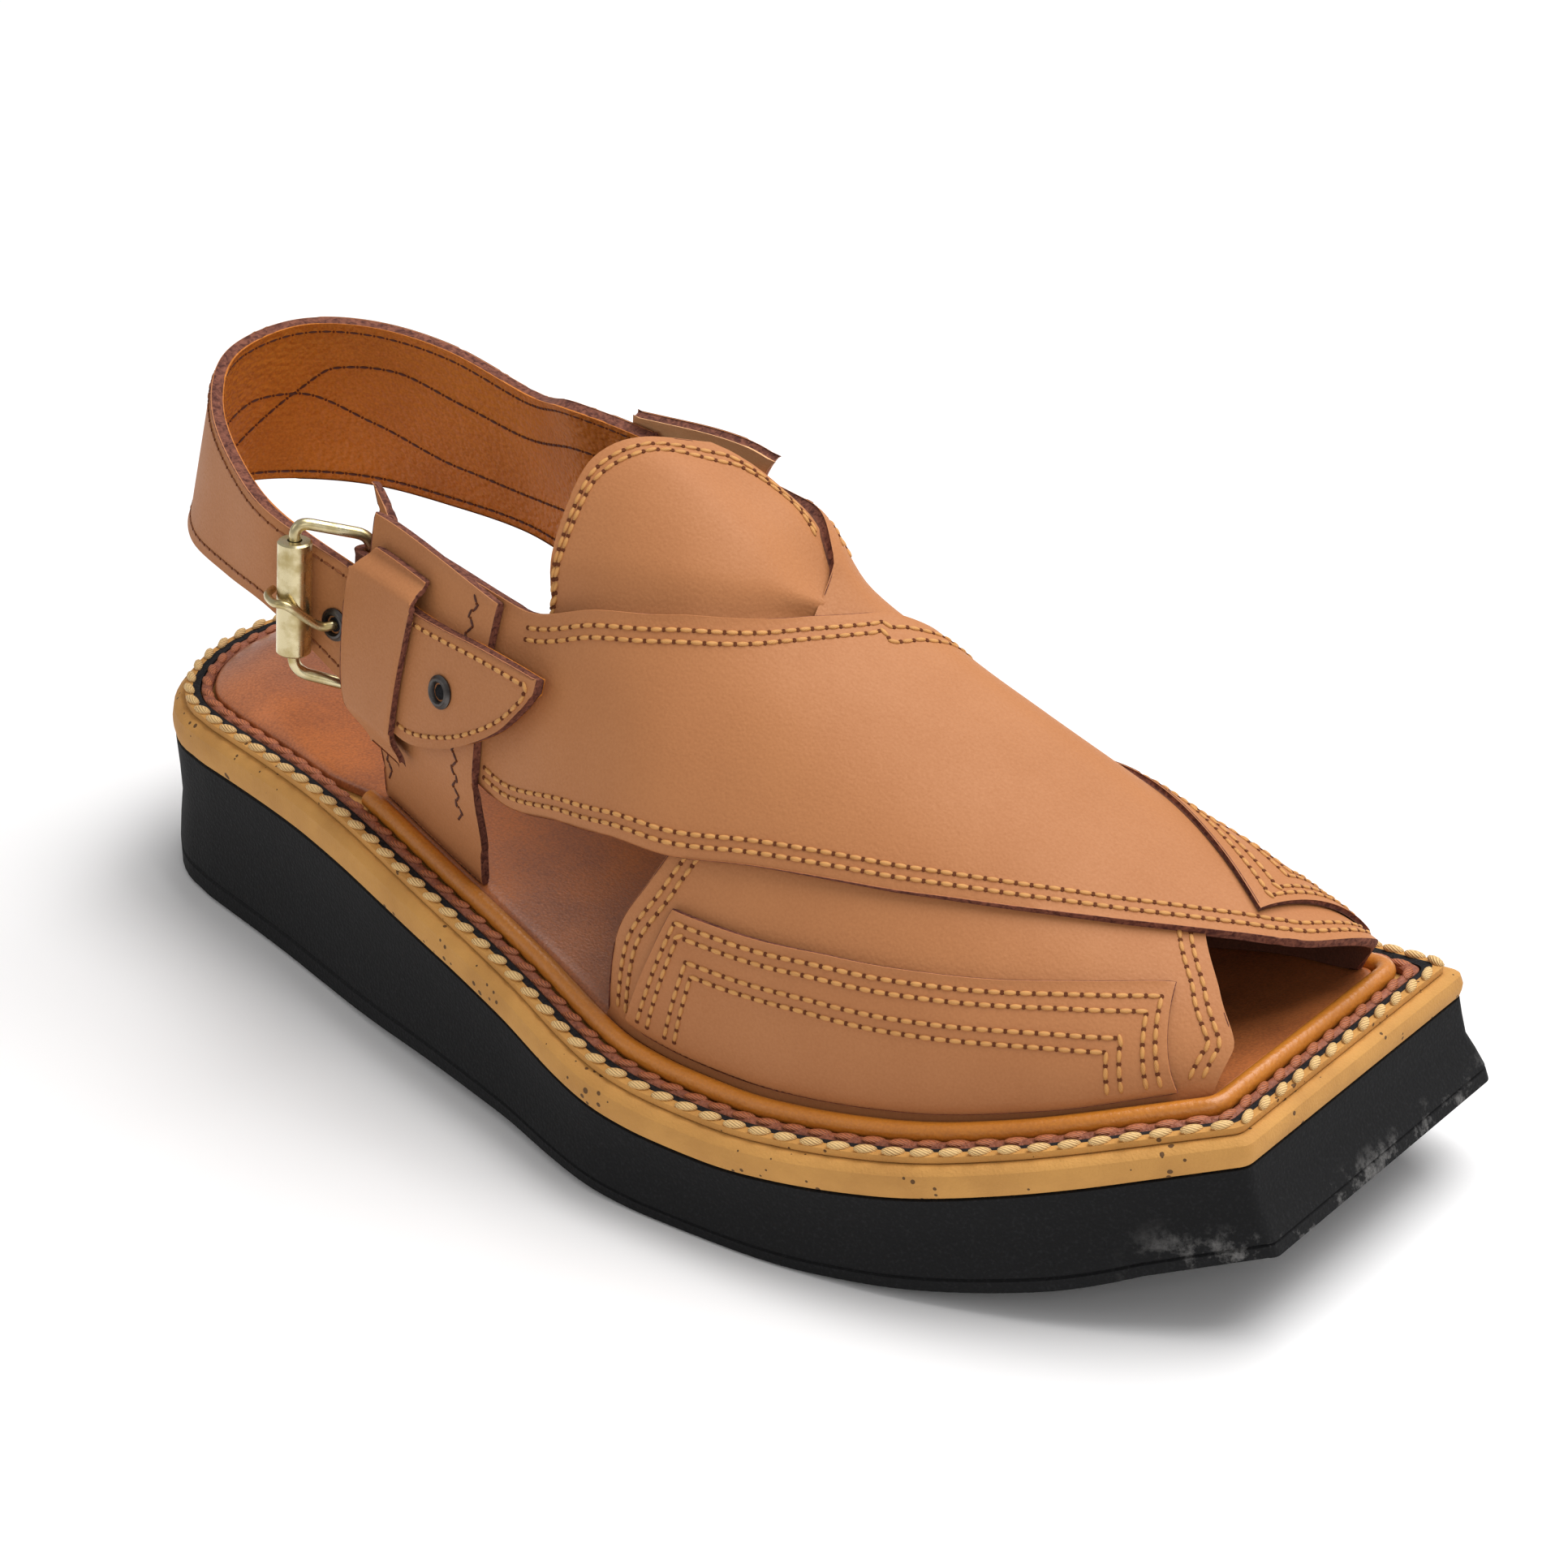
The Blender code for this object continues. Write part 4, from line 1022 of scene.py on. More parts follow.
def hide(name, main, deep, smooth_rough=(0.42, 0.55), amount=0.35, cells=(1300.0, 1.0),
         fine=(5000.0, 0.5), depth=0.00006, patch=45.0, specular=0.5, coat=0.0):
    """Leather: mottled colour and gloss over a pored surface."""
    made, tree, sockets = shader(name, main, smooth_rough[0], specular=specular, coat=coat)
    drift = {
        "Main": main, "Deep": deep, "Patch scale": patch, "Fleck scale": 1800.0,
        "Amount": amount, "Smooth": smooth_rough[0], "Rough": smooth_rough[1],
    }
    mottle = node(tree, "Group", drift, node_tree=mottle_group())
    tree.links.new(mottle.outputs["Color"], sockets["Base Color"])
    tree.links.new(mottle.outputs["Roughness"], sockets["Roughness"])
    pores = {"Cell scale": cells[0], "Cells": cells[1], "Fine scale": fine[0], "Fine": fine[1]}
    grain = node(tree, "Group", pores, node_tree=grain_group())
    bumped(tree, sockets, grain.outputs["Height"], 1.0, depth)
    return made


def pored(name, main, deep, scale, share, roughness, depth):
    """Rubber or crepe: dark pores scattered in it, on a softly uneven skin."""
    made, tree, sockets = shader(name, main, roughness)
    place = node(tree, "TexCoord").outputs["Object"]
    cells = node(tree, "TexVoronoi", {"Vector": place, "Scale": scale})
    size = node(tree, "TexNoise", {"Vector": place, "Scale": scale * 0.2, "Detail": 1.0})
    reach = ramp(tree, size.outputs["Fac"], 0.45, 0.75, 0.0, share)
    pore = maths(tree, "LESS_THAN", cells.outputs["Distance"], reach)
    cloud = node(tree, "TexNoise", {"Vector": place, "Scale": 90.0, "Detail": 6.0})
    drift = ramp(tree, cloud.outputs["Fac"], 0.35, 0.7, 0.0, 0.4)
    base = blend(tree, drift, main, deep)
    dark = (*[c * 0.35 for c in deep[:3]], 1.0)
    tree.links.new(blend(tree, pore, base, dark), sockets["Base Color"])
    rough = node(tree, "TexNoise", {"Vector": place, "Scale": 1800.0, "Detail": 3.0})
    height = maths(tree, "SUBTRACT", rough.outputs["Fac"], pore)
    bumped(tree, sockets, height, 1.0, depth)
    return made


def speckled():
    """The platform's microcellular rubber: near black, with paler flecks and scuffs low at the toe."""
    made, tree, sockets = shader("Black rubber", srgb(19, 19, 20), 0.82, specular=0.25)
    place = node(tree, "TexCoord").outputs["Object"]
    flecks = node(tree, "TexNoise", {"Vector": place, "Scale": 1500.0, "Detail": 2.0})
    share = ramp(tree, flecks.outputs["Fac"], 0.52, 0.78, 0.0, 0.4)
    base = blend(tree, share, srgb(18, 18, 19), srgb(46, 46, 48))
    along = node(tree, "SeparateXYZ", {0: place})
    front = ramp(tree, along.outputs["X"], 0.127, 0.147)
    low = ramp(tree, along.outputs["Z"], 0.0245, 0.0185)
    patch = node(tree, "TexNoise", {"Vector": place, "Scale": 130.0, "Detail": 8.0, "Roughness": 0.7})
    toe = maths(tree, "MULTIPLY", front, low)
    scuff = maths(tree, "MULTIPLY", toe, ramp(tree, patch.outputs["Fac"], 0.52, 0.68))
    tree.links.new(blend(tree, scuff, base, srgb(132, 130, 128)), sockets["Base Color"])
    pits = node(tree, "TexVoronoi", {"Vector": place, "Scale": 1300.0})
    bumped(tree, sockets, pits.outputs["Distance"], 0.8, 0.00012)
    return made


def thread(name, main, deep, turns=7.0, depth=0.0001):
    """Spun thread: strands that wind round each stitch, the grooves between them darkened as painted
    shade.
    """
    made, tree, sockets = shader(name, main, 0.55)
    run = node(tree, "UVMap", uv_map="run").outputs["UV"]
    wound = node(tree, "Mapping", {"Vector": run, "Rotation": (0, 0, 0.6), "Scale": (turns, turns, 1)})
    strands = node(
        tree, "TexWave", {"Vector": wound.outputs[0], "Scale": 0.6, "Distortion": 0.6},
        bands_direction="X",
    )
    # The deep colour goes into the grooves between the strands: painted shade.
    share = ramp(tree, strands.outputs["Fac"], 0.1, 0.6, 0.8, 0.0)
    place = node(tree, "TexCoord").outputs["Object"]
    fuzz = node(tree, "TexNoise", {"Vector": place, "Scale": 260.0, "Detail": 2.0}).outputs["Fac"]
    total = maths(tree, "MULTIPLY", share, ramp(tree, fuzz, 0.3, 0.7, 0.5, 1.2))
    tree.links.new(blend(tree, total, main, deep), sockets["Base Color"])
    bumped(tree, sockets, strands.outputs["Fac"], 0.8, depth)
    return made


def fibre(name, main, deep, scale=900.0, depth=0.00025):
    """Cut leather edge or a napped strip: loose fibres in two tones."""
    made, tree, sockets = shader(name, main, 0.85, specular=0.25)
    place = node(tree, "TexCoord").outputs["Object"]
    grain = node(tree, "TexNoise", {"Vector": place, "Scale": scale, "Detail": 5.0, "Distortion": 0.8})
    share = ramp(tree, grain.outputs["Fac"], 0.35, 0.65)
    tree.links.new(blend(tree, share, main, deep), sockets["Base Color"])
    bumped(tree, sockets, grain.outputs["Fac"], 1.0, depth)
    return made


def plated(name, main, worn, roughness):
    """Plated metal, a little tarnished and scratched."""
    made, tree, sockets = shader(name, main, roughness, metallic=1.0)
    place = node(tree, "TexCoord").outputs["Object"]
    patch = node(tree, "TexNoise", {"Vector": place, "Scale": 260.0, "Detail": 5.0})
    share = ramp(tree, patch.outputs["Fac"], 0.45, 0.7)
    tree.links.new(blend(tree, share, main, worn), sockets["Base Color"])
    gloss = ramp(tree, patch.outputs["Fac"], 0.3, 0.7, roughness, roughness + 0.25)
    tree.links.new(gloss, sockets["Roughness"])
    bumped(tree, sockets, patch.outputs["Fac"], 0.3, 0.00005)
    return made


def finishes():
    """Every material of the shoe by name, made once."""
    if FINISHES:
        return FINISHES
    tones = bpy.context.scene.chappal_leather
    tan, tan_deep = tuple(tones.tan), tuple(tones.tan_deep)
    made = {
        "tan": hide("Tan leather", tan, tan_deep, (0.55, 0.66), 0.30, specular=0.28),
        # Painted light: the inner quarter's lining is given a paler tan than the leather so that it
        # looks brightly lit.
        "painted_light_tan": hide(
            "Tan lining lightened as painted light", srgb(240, 186, 134), srgb(206, 142, 92), (0.55, 0.66), 0.3,
            specular=0.28,
        ),
        "edge": fibre("Raw leather edge", srgb(136, 84, 66), srgb(78, 42, 36)),
        # The backs of the pieces: the flesh side's own brown, darkened further as painted shade for the
        # dim inside of the shoe under the straps.
        "flesh_with_shade": hide(
            "Flesh side darkened with painted shade", srgb(112, 64, 42), srgb(74, 40, 28), (0.7, 0.85), 0.6,
            (900.0, 0.4), (3000.0, 1.0), 0.00012,
        ),
        "lining": hide(
            "Orange lining", srgb(212, 126, 38), srgb(158, 84, 20), (0.5, 0.62), 0.6,
            (760.0, 1.5), (3000.0, 0.3), 0.00028, specular=0.35,
        ),
        "insole": hide(
            "Polished insole", srgb(190, 112, 62), srgb(116, 62, 38), (0.3, 0.45), 0.7,
            (1500.0, 0.8), (5000.0, 0.5), 0.00005, patch=60.0, coat=0.25,
        ),
        "piping": hide(
            "Orange rolled edging", srgb(206, 128, 42), srgb(160, 88, 24), (0.3, 0.42), 0.45,
            (900.0, 1.0), (3500.0, 0.5), 0.0001, coat=0.2,
        ),
        "rand": hide(
            "Whip-stitched strip", srgb(168, 96, 64), srgb(96, 48, 34), (0.5, 0.65), 0.7,
            (1100.0, 1.0), (3000.0, 0.8), 0.00025, patch=170.0,
        ),
        "welt": fibre("Black felted strip", srgb(38, 36, 38), srgb(14, 13, 15), 1500.0, 0.0003),
        "crepe": pored("Crepe", srgb(206, 150, 76), srgb(158, 106, 46), 420.0, 0.38, 0.75, 0.0002),
        "rubber": speckled(),
        # Each thread's second colour is painted shade in the grooves between its strands.
        "gold": thread("Gold thread", srgb(228, 166, 92), srgb(160, 98, 48), 7.0, 0.00005),
        "cream": thread("Cream thread", srgb(240, 200, 134), srgb(150, 104, 58), 6.0, 0.00012),
        "brown": thread("Brown thread", srgb(106, 56, 38), srgb(56, 28, 22)),
        "amber": thread("Amber thread", srgb(178, 104, 52), srgb(110, 58, 30)),
        "salmon": thread("Salmon thread", srgb(186, 108, 66), srgb(104, 54, 34), 6.0, 0.0001),
        # The needle holes' darker brown is painted shade in the holes.
        "hole": shader("Needle hole", srgb(104, 58, 36), 0.9, specular=0.1)[0],
        "brass": plated("Plated brass", srgb(214, 200, 160), srgb(178, 158, 104), 0.16),
        "gunmetal": plated("Gunmetal", srgb(96, 92, 90), srgb(60, 56, 54), 0.35),
    }
    FINISHES.update(made)
    return FINISHES


# Pieces


def leather(name, nodes, band, counts, lining="flesh_with_shade"):
    """A leather piece on the last, with its face, cut edge and back."""
    made = finishes()

    def place(u, v, inside):
        return band.place(v, u, inside)

    sheet(name, nodes, [made["tan"], made["edge"], made[lining]], counts, place)


def sew(name, paths, thread_name="gold", pitch=None, size=None):
    """One object of thread lumps and one of needle holes for a set of seams."""
    made = finishes()
    tones = bpy.context.scene.chappal_leather
    pitch = pitch or tones.stitch_pitch
    size = size or (pitch * 0.86, tones.thread_width, tones.thread_width * 0.75)
    lumps, holes = [], []
    for path in paths:
        some, between = spaced(path, pitch)
        lumps += some
        holes += between
    beads(name, made[thread_name], lumps, size, lift=size[2] * 0.12)
    hole = (size[1], size[1] * 1.1, 0.0003)
    pricks(name + "_holes", made["hole"], holes, hole)


def build_sole():
    made = finishes()
    rings = []
    for share, inset, flare in PLATFORM_RINGS:
        ring = plan_ring(inset, flare=FRONT_FLARE * flare)
        rings.append(
            raised(ring, lambda x, s=share: underside(x) + s * (block_top(x) - underside(x)))
        )
    loft("black_platform", ["outsole"], [made["rubber"]], rings, "strips", 30)
    rings = []
    for inset, share in CREPE_RINGS:
        foot = GAP * (1 - share)
        rings.append(
            raised(plan_ring(inset), lambda x, s=share, f=foot: block_top(x) + f + s * crepe(x))
        )
    loft("crepe_layer", ["midsole"], [made["crepe"]], rings, "strips", 25)
    for name, slot, part, start, width, thick, crown, looks, rows in (
        (
            "welt_strip", "welt_leather", "welt", WELT_INSET, WELT_WIDTH, WELT_THICK, 0.0002,
            ("crepe", "welt"), (0, 0, 0, 1, 1, 1),
        ),
        (
            "whipped_strip", "rand_leather", "rand", WELT_INSET + WELT_WIDTH + GAP, RAND_WIDTH,
            RAND_STANDS, 0.0007, ("rand",), None,
        ),
    ):
        rings = []
        for inset, height in (
            (start, 0.0), (start, thick - crown), (start + width * 0.2, thick - crown * 0.3),
            (start + width * 0.5, thick), (start + width * 0.8, thick - crown * 0.3),
            (start + width, thick - crown), (start + width, 0.0),
        ):
            rings.append(raised(plan_ring(inset), lambda x, h=height: deck(x) + GAP + h))
        loft(name, [part], [made[look] for look in looks], rings, "round", 40, rows)
    build_insole(made)
    ring = plan_ring(PIPING_INSET, corner=0.0045)
    path = [(x, y, deck(x) + INSOLE_THICK) for x, y in ring if x > WAIST * LENGTH]
    rings = round_rings(path, PIPING_RADIUS, 16)
    loft("rolled_edging", ["piping"], [made["piping"]], rings, "fan", 60)


def insole_inset(x):
    full = PIPING_INSET + PIPING_RADIUS + GAP
    return INSOLE_HEEL_INSET + (full - INSOLE_HEEL_INSET) * smooth(x, 0.21 * LENGTH, WAIST * LENGTH)


def build_insole(made):
    def dome(x, share):
        heel = 1 - smooth(x, 0.12 * LENGTH, WAIST * LENGTH)
        return deck(x) + GAP + INSOLE_THICK + INSOLE_DOME * share * heel

    def narrowing(x):
        return 1 - 0.75 * smooth(x, 0.5 * LENGTH, 0.8 * LENGTH)

    rings = [raised(plan_ring(insole_inset), lambda x: deck(x) + GAP)]
    for extra, height, share in INSOLE_RINGS:
        ring = plan_ring(lambda x, e=extra: insole_inset(x) + e * narrowing(x))
        rings.append(raised(ring, lambda x, s=share, h=height: dome(x, s) + h))
    loft("insole_board", ["insole"], [made["insole"]], rings, "strips", 50)


def build_straps():
    shape = bands()
    for name, part, band, counts in (
        ("lower_strap", "upper", "under", (30, 120)),
        ("upper_strap", "upper", "over", (30, 120)),
        ("throat_flap_leather", "throat_flap", "flap", (24, 60)),
        ("side_panel", "overlay_outer", "panel", (24, 70)),
        ("corner_panel", "overlay_inner", "corner", (24, 70)),
        ("outer_quarter", "quarter_outer", "outer_tab", (24, 44)),
    ):
        leather(name, [part], shape[band], counts)
    # Its back takes the paler tan, which is painted light.
    leather("inner_quarter", ["quarter_inner"], shape["inner_tab"], (24, 44), "painted_light_tan")


def loop_place():
    """The quarter's rear end turned inwards round the buckle's bar, as a grid of points."""
    reach = WIRE + GAP + TAB_THICK / 2
    middle = bar_offset()
    profile = [(LOOP_END * LENGTH, middle + reach)]
    for t in np.linspace(0, math.pi, 17):
        profile.append((BAR_ALONG * LENGTH - reach * math.sin(t), middle + reach * math.cos(t)))
    profile.append((BAR_ALONG * LENGTH + 0.006, middle - reach))
    profile.append((BAR_ALONG * LENGTH + 0.013, middle - reach))
    profile = np.array(profile)
    along = unit(np.gradient(profile, axis=0))
    side = np.stack([along[:, 1], -along[:, 0]], 1) * TAB_THICK / 2
    low, high = bar_ends()
    middle_a = sum(BAR_ROUND) / 2
    out = on_last(BAR_ALONG * LENGTH, middle_a, 0.001) - on_last(BAR_ALONG * LENGTH, middle_a)
    out = unit(out - (out @ (high - low)) * (high - low) / ((high - low) @ (high - low)))
    ahead = unit(np.cross(high - low, out))

    def place(u, v, inside):
        spots = low + (high - low) * (0.09 + 0.82 * u[:, None])
        line = profile + side * (-1 if inside else 1)
        level = v * (len(line) - 1)
        x, off = (np.interp(level, np.arange(len(line)), line[:, k]) for k in (0, 1))
        return spots + ahead * (x - BAR_ALONG * LENGTH)[:, None] + out * (off - middle)[:, None]

    return place


def build_heel_strap():
    made = finishes()
    sling = Sling()

    def place(u, v, inside):
        return sling.place(v, u, inside)

    sheet(
        "heel_sling", ["heel_strap"],
        [made["tan"], made["edge"], made["lining"]], (14, 260), place,
    )
    for name, part, share, across in (
        ("prong_eyelet", "eyelet_prong", PRONG_AT, PRONG_ACROSS),
        ("spare_eyelet", "eyelet_spare", SPARE_AT, SPARE_ACROSS),
    ):
        spot, _, _, out = sling.at(np.array(share), np.array(across))
        one = unit(np.cross(out, (0.0, 0.0, 1.0)))
        rings = turned(spot, out, one, np.cross(out, one), EYELET_RINGS, 40)
        loft(name, [part], [made["gunmetal"]], rings, "round", 50)
        # A black disc over the eyelet's hole: painted shade for the dark inside the hole, in the black
        # strip's material.
        dark = [(spot, one, out)]
        pricks(name + "_hole_painted_shade", made["welt"], dark, (0.0036, 0.0036, 0.0004), 0.0001)
    shape = bands()
    leather("strap_keeper", ["keeper"], shape["keeper"], (20, 60))
    sheet(
        # The loop's face is the flesh side, in its colour darkened as painted shade.
        "bar_loop", ["buckle_loop"],
        [made["flesh_with_shade"], made["edge"], made["tan"]], (24, 60), loop_place(), 0.0003,
    )
    leather("bar_loop_tail", [], shape["tail"], (10, 20))


def rounded(corners, radius, steps=8):
    """A closed path round the corners given, each turned with a small arc."""
    path = []
    for i, corner in enumerate(corners):
        back = unit(corners[i - 1] - corner)
        ahead = unit(corners[(i + 1) % len(corners)] - corner)
        for t in np.linspace(0, 1, steps):
            path.append(corner + radius * (back * (1 - t) ** 2 + ahead * t**2))
    return path


def build_buckle():
    made = finishes()
    sling = Sling()
    spot, along, up, out = sling.at(np.array(ROLLER_AT))
    middle = spot + out * (GAP + ROLLER_RADIUS)
    half = BUCKLE_HEIGHT / 2
    low, high = bar_ends()
    corners = [middle - up * half, middle + up * half, high, low]
    rings = round_rings(rounded(corners, WIRE_BEND), WIRE, 16, closed=True)
    loft("buckle_wire", ["buckle_frame"], [made["brass"]], rings, "round", 60)
    reach = half - ROLLER_ROOM
    foot = middle - up * reach
    hole = WIRE + GAP
    section = (
        (hole, 0.0), (ROLLER_RADIUS - 0.0004, 0.0), (ROLLER_RADIUS, 0.0004),
        (ROLLER_RADIUS, reach), (ROLLER_RADIUS, 2 * reach - 0.0004),
        (ROLLER_RADIUS - 0.0004, 2 * reach), (hole, 2 * reach), (hole, reach),
    )
    rings = turned(foot, up, out, np.cross(up, out), section, 48)
    loft("roller", ["buckle_roller"], [made["brass"]], rings, "round", 40)
    hole_at, _, _, hole_out = sling.at(np.array(PRONG_AT), np.array(PRONG_ACROSS))
    over = ROLLER_RADIUS + PRONG + GAP
    path = path_through(
        [
            hole_at - hole_out * (STRAP_THICK + 0.0006),
            hole_at + hole_out * 0.0004,
            hole_at + hole_out * 0.0030 - along * 0.0018,
            middle + out * over + along * 0.0022,
            middle + out * (over + 0.0003) - along * 0.0012,
            middle + out * over * 0.55 - along * over * 0.95,
            middle - out * over * 0.10 - along * (over + 0.0009),
        ],
        60,
    )
    rings = round_rings(path, lambda t: PRONG * (1 - 0.25 * t), 14)
    loft("prong", ["buckle_prong"], [made["brass"]], rings, "fan", 60)


def ring_path(inset, height):
    """A closed seam lying on the deck."""
    ring = raised(plan_ring(inset), lambda x: deck(x) + height)
    outs = np.zeros_like(ring)
    outs[:, 2] = 1.0
    return ring, outs


def wavy(path, pitch, reach):
    """The same seam swung from side to side."""
    points, outs = path
    run = np.concatenate([[0], np.cumsum(np.linalg.norm(np.diff(points, axis=0), axis=1))])
    count = int(run[-1] / (pitch / 2))
    spots = np.linspace(0, run[-1], count + 1)
    line = np.stack([np.interp(spots, run, points[:, k]) for k in range(3)], 1)
    facing = np.stack([np.interp(spots, run, outs[:, k]) for k in range(3)], 1)
    along = unit(np.gradient(line, axis=0))
    swing = np.where(np.arange(count + 1) % 2 == 0, 1.0, -1.0)[:, None]
    return line + np.cross(facing, along) * swing * reach, facing


def build_seams():
    shape = bands()
    made = finishes()
    sling = Sling()
    over, under, flap = shape["over"], shape["under"], shape["flap"]
    sew(
        "upper_strap_stitches",
        [over.beside(d, False, 0.18, 0.93) for d in REAR_ROWS]
        + [over.beside(d, True, 0.15, 0.93) for d in FRONT_ROWS],
    )
    sew(
        "lower_strap_stitches",
        [under.beside(d, False, 0.78, 0.985) for d in REAR_ROWS]
        + [under.beside(d, True, 0.74, 0.965) for d in FRONT_ROWS]
        + [under.beside(d, False, 0.15, 0.40) for d in REAR_ROWS],
    )
    t = np.linspace(0.03, 0.80, 90)
    sew("flap_stitches", [flap.seam(t, 1 - d / flap.width(t)) for d in FLAP_ROWS])
    for name, band in (("side_panel_stitches", "panel"), ("corner_panel_stitches", "corner")):
        sew(name, [shape[band].round_three(d) for d in PANEL_ROWS])
    zigzags = [
        wavy(shape["outer_tab"].beside(0.0062, True, 0.22, 0.97), ZIGZAG, 0.0009),
        wavy(shape["outer_tab"].beside(0.0030, False, 0.10, 0.40), ZIGZAG, 0.0007),
        wavy(shape["inner_tab"].beside(0.0062, True, 0.22, 0.97), ZIGZAG, 0.0009),
    ]
    sew("quarter_zigzag", zigzags, "brown", ZIGZAG_PITCH, ZIGZAG_THREAD)
    share = np.linspace(0.05, 0.765, 200)
    edge_share = 0.0021 / sling.width(share)
    sew(
        "sling_outside_stitches",
        [sling.path(share, edge_share, STRAP_THICK), sling.path(share, 1 - edge_share, STRAP_THICK)],
        "amber", FINE_PITCH, FINE_THREAD,
    )
    tip = np.linspace(0.83, TIP_END, 60)
    low, high = 0.0022 / sling.width(tip), 1 - 0.0022 / sling.width(tip)
    share = np.concatenate([tip, np.full(12, TIP_END), tip[::-1]])
    across = np.concatenate([low, np.linspace(low[-1], high[-1], 14)[1:-1], high[::-1]])
    sew("strap_tip_stitches", [sling.path(share, across, STRAP_THICK)], "gold", TIP_PITCH)
    lining = np.linspace(0.01, 0.62, 220)
    edge_share = 0.0022 / sling.width(lining)
    t = np.linspace(0, 1, 120)
    falling = monotone((0, 0.49, 0.68, 0.83, 0.91, 1), (0.27, 0.27, 0.40, 0.56, 0.57, 0.48))
    rising = monotone(
        (0, 0.49, 0.64, 0.76, 0.83, 0.92, 1), (0.68, 0.69, 0.75, 0.72, 0.58, 0.36, 0.14)
    )
    rows = [
        sling.path(lining, edge_share, 0.0),
        sling.path(lining, 1 - edge_share, 0.0),
        sling.path(0.02 + 0.44 * t, falling(t), 0.0),
        sling.path(0.02 + 0.44 * t, rising(t), 0.0),
    ]
    rows = [(points, -outs) for points, outs in rows]
    sew("sling_lining_stitches", rows, "brown", FINE_PITCH, FINE_THREAD)
    seam = ring_path(WELT_INSET + 0.0010, GAP + WELT_THICK + 0.0001)
    lumps, _ = spaced(seam, WELT_PITCH, closed=True)
    beads("welt_stitches", made["cream"], lumps, WELT_THREAD, 0.0002, 0.32)
    seam = ring_path(WELT_INSET + WELT_WIDTH + GAP + RAND_WIDTH / 2, GAP + RAND_STANDS)
    lumps, _ = spaced(seam, WELT_PITCH, closed=True)
    beads("whip_stitches", made["salmon"], lumps, WHIP_THREAD, -0.0002, 0.3)


# Stage


def aimed(name, place, at, size, energy):
    """A rectangular lamp that faces a spot."""
    light = bpy.data.lights.new(name, "AREA")
    light.shape, (light.size, light.size_y) = "RECTANGLE", size
    light.energy = energy
    lamp = bpy.data.objects.new(name, light)
    bpy.context.scene.collection.objects.link(lamp)
    lamp.location = place
    lamp.rotation_euler = (Vector(at) - Vector(place)).to_track_quat("-Z", "Y").to_euler()
    return lamp


def build_stage():
    tones = bpy.context.scene.chappal_stage
    work = bmesh.new()
    bmesh.ops.create_grid(work, x_segments=1, y_segments=1, size=FLOOR_REACH)
    mesh = bpy.data.meshes.new("floor")
    work.to_mesh(mesh)
    work.free()
    floor = bpy.data.objects.new("floor", mesh)
    bpy.context.scene.collection.objects.link(floor)
    mesh.materials.append(shader("Pale floor", srgb(248, 247, 247), 0.8, specular=0.05)[0])
    world = bpy.data.worlds.new("Pale room")
    bpy.context.scene.world = world
    world.use_nodes = True
    sky = world.node_tree.nodes["Background"]
    sky.inputs["Color"].default_value = srgb(253, 253, 253)
    sky.inputs["Strength"].default_value = tones.room
    powers = (tones.overhead, tones.front, tones.side)
    [aimed(*lamp, power) for lamp, power in zip(LAMPS, powers)]
    lens = bpy.data.cameras.new("camera")
    lens.sensor_width, lens.lens = SENSOR, FOCAL * SENSOR
    lens.clip_start = 0.01
    camera = bpy.data.objects.new("camera", lens)
    bpy.context.scene.collection.objects.link(camera)
    place = Vector(CAMERA_PLACE) + Vector(ORIGIN)
    rows = [[CAMERA_RIGHT[i], CAMERA_UP[i], -CAMERA_AHEAD[i], place[i]] for i in range(3)]
    camera.matrix_world = Matrix([*rows, [0, 0, 0, 1]])
    bpy.context.scene.camera = camera
    bpy.context.scene.view_settings.view_transform = "Standard"


# Add-on


class ChappalLeather(bpy.types.PropertyGroup):
    tan: bpy.props.FloatVectorProperty(
        name="Tan", description="Main colour of the upper's leather", subtype="COLOR", size=4,
        min=0, max=1, default=srgb(188, 125, 78),
    )
    tan_deep: bpy.props.FloatVectorProperty(
        name="Deep tan", description="Colour that the leather drifts to", subtype="COLOR", size=4,
        min=0, max=1, default=srgb(158, 96, 56),
    )
    stitch_pitch: bpy.props.FloatProperty(
        name="Stitch pitch", description="Length of one stitch on the upper", default=0.003,
        min=0.0015, max=0.006, unit="LENGTH",
    )
    thread_width: bpy.props.FloatProperty(
        name="Thread width", description="Width of the thread on the upper", default=0.0010,
        min=0.0004, max=0.0015, unit="LENGTH",
    )
    dents: bpy.props.FloatProperty(
        name="Dents", description="Strength of the soft dents in the leather", default=1.0,
        min=0, max=2,
    )


class ChappalStage(bpy.types.PropertyGroup):
    room: bpy.props.FloatProperty(
        name="Room light", description="Strength of the pale surroundings", default=0.42, min=0,
        max=3,
    )
    overhead: bpy.props.FloatProperty(
        name="Overhead", description="Power of the large panel above", default=24.0, min=0,
        max=200, unit="POWER",
    )
    front: bpy.props.FloatProperty(
        name="Front", description="Power of the panel before the toe", default=2.5, min=0,
        max=200, unit="POWER",
    )
    side: bpy.props.FloatProperty(
        name="Side", description="Power of the panel on the buckle side", default=1.5, min=0,
        max=200, unit="POWER",
    )


class CHAPPAL_OT_sole(bpy.types.Operator):
    """Build the platform, crepe, welt, whipped strip, insole and rolled edging"""

    bl_idname, bl_label, bl_options = "chappal.sole", "Sole", {"REGISTER", "UNDO"}

    def execute(self, context):
        build_sole()
        return {"FINISHED"}


class CHAPPAL_OT_straps(bpy.types.Operator):
    """Build the two crossing straps, throat flap, panels and quarters"""

    bl_idname, bl_label, bl_options = "chappal.straps", "Straps", {"REGISTER", "UNDO"}

    def execute(self, context):
        build_straps()
        return {"FINISHED"}


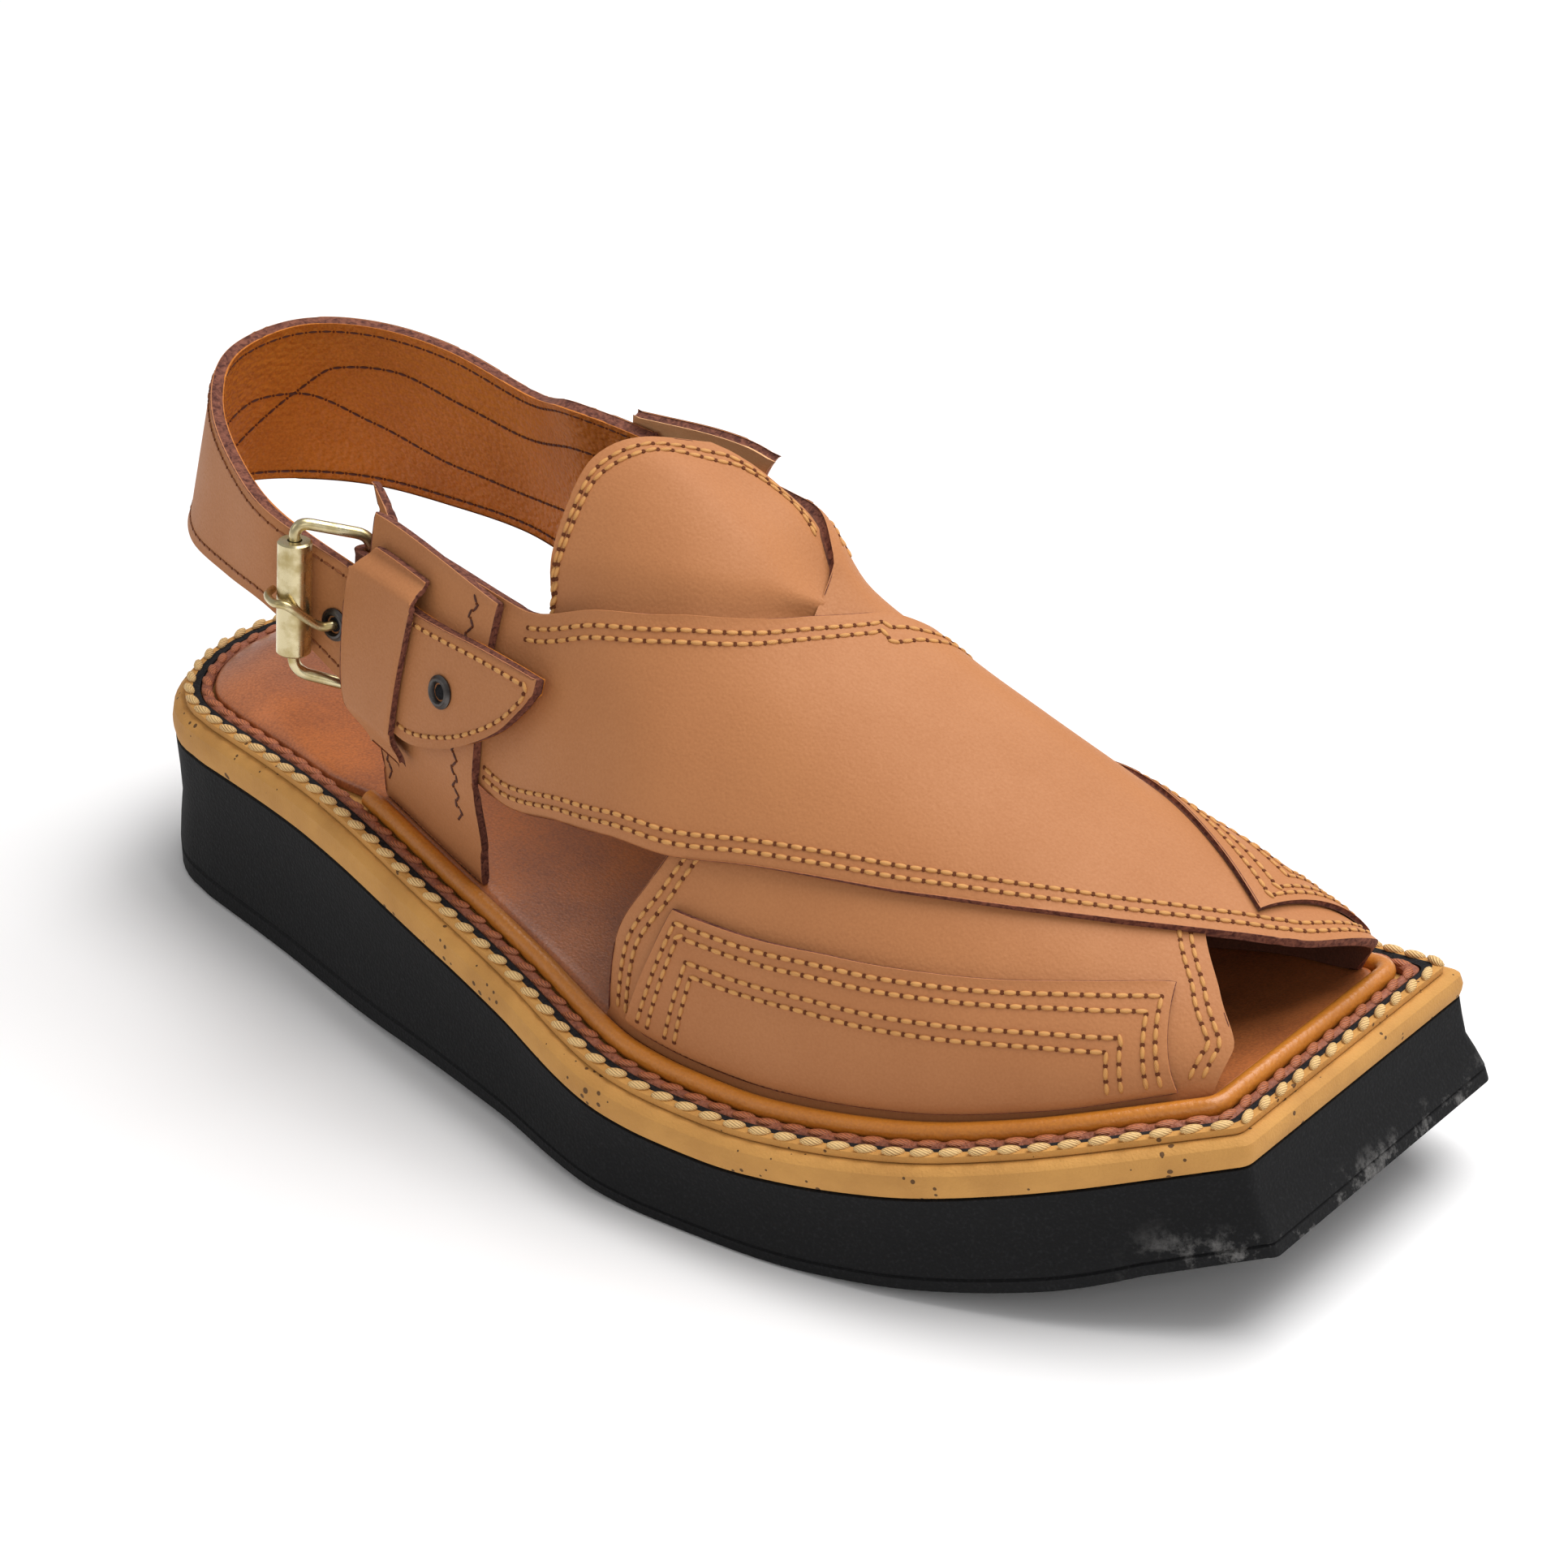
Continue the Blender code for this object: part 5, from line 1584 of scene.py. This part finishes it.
class CHAPPAL_OT_heel_strap(bpy.types.Operator):
    """Build the heel strap, its eyelets, keeper and the loop round the bar"""

    bl_idname, bl_label, bl_options = "chappal.heel_strap", "Heel strap", {"REGISTER", "UNDO"}

    def execute(self, context):
        build_heel_strap()
        return {"FINISHED"}


class CHAPPAL_OT_buckle(bpy.types.Operator):
    """Build the buckle's wire, roller and prong"""

    bl_idname, bl_label, bl_options = "chappal.buckle", "Buckle", {"REGISTER", "UNDO"}

    def execute(self, context):
        build_buckle()
        return {"FINISHED"}


class CHAPPAL_OT_seams(bpy.types.Operator):
    """Sew every seam: thread lumps and needle holes"""

    bl_idname, bl_label, bl_options = "chappal.seams", "Seams", {"REGISTER", "UNDO"}

    def execute(self, context):
        build_seams()
        return {"FINISHED"}


class CHAPPAL_OT_stage(bpy.types.Operator):
    """Set the floor, lights and camera"""

    bl_idname, bl_label, bl_options = "chappal.stage", "Stage", {"REGISTER", "UNDO"}

    def execute(self, context):
        build_stage()
        return {"FINISHED"}


STEPS = (
    CHAPPAL_OT_sole, CHAPPAL_OT_straps, CHAPPAL_OT_heel_strap, CHAPPAL_OT_buckle,
    CHAPPAL_OT_seams, CHAPPAL_OT_stage,
)


class CHAPPAL_PT_looks(bpy.types.Panel):
    """Lists the sandal's sizes, colours and building steps"""

    bl_label, bl_space_type, bl_region_type, bl_category = "Chappal", "VIEW_3D", "UI", "Chappal"

    def draw(self, context):
        for group in (context.scene.chappal_leather, context.scene.chappal_stage):
            for name in group.__annotations__:
                self.layout.prop(group, name)
        for step in STEPS:
            self.layout.operator(step.bl_idname)


CLASSES = (ChappalLeather, ChappalStage, *STEPS, CHAPPAL_PT_looks)


def register():
    for made in CLASSES:
        bpy.utils.register_class(made)
    bpy.types.Scene.chappal_leather = bpy.props.PointerProperty(type=ChappalLeather)
    bpy.types.Scene.chappal_stage = bpy.props.PointerProperty(type=ChappalStage)


def unregister():
    del bpy.types.Scene.chappal_stage
    del bpy.types.Scene.chappal_leather
    for made in reversed(CLASSES):
        bpy.utils.unregister_class(made)


def main():
    register()
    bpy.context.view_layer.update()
    bpy.ops.chappal.sole()
    bpy.ops.chappal.straps()
    bpy.ops.chappal.heel_strap()
    bpy.ops.chappal.buckle()
    bpy.ops.chappal.seams()
    bpy.ops.chappal.stage()
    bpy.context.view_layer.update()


if __name__ == "__main__":
    main()
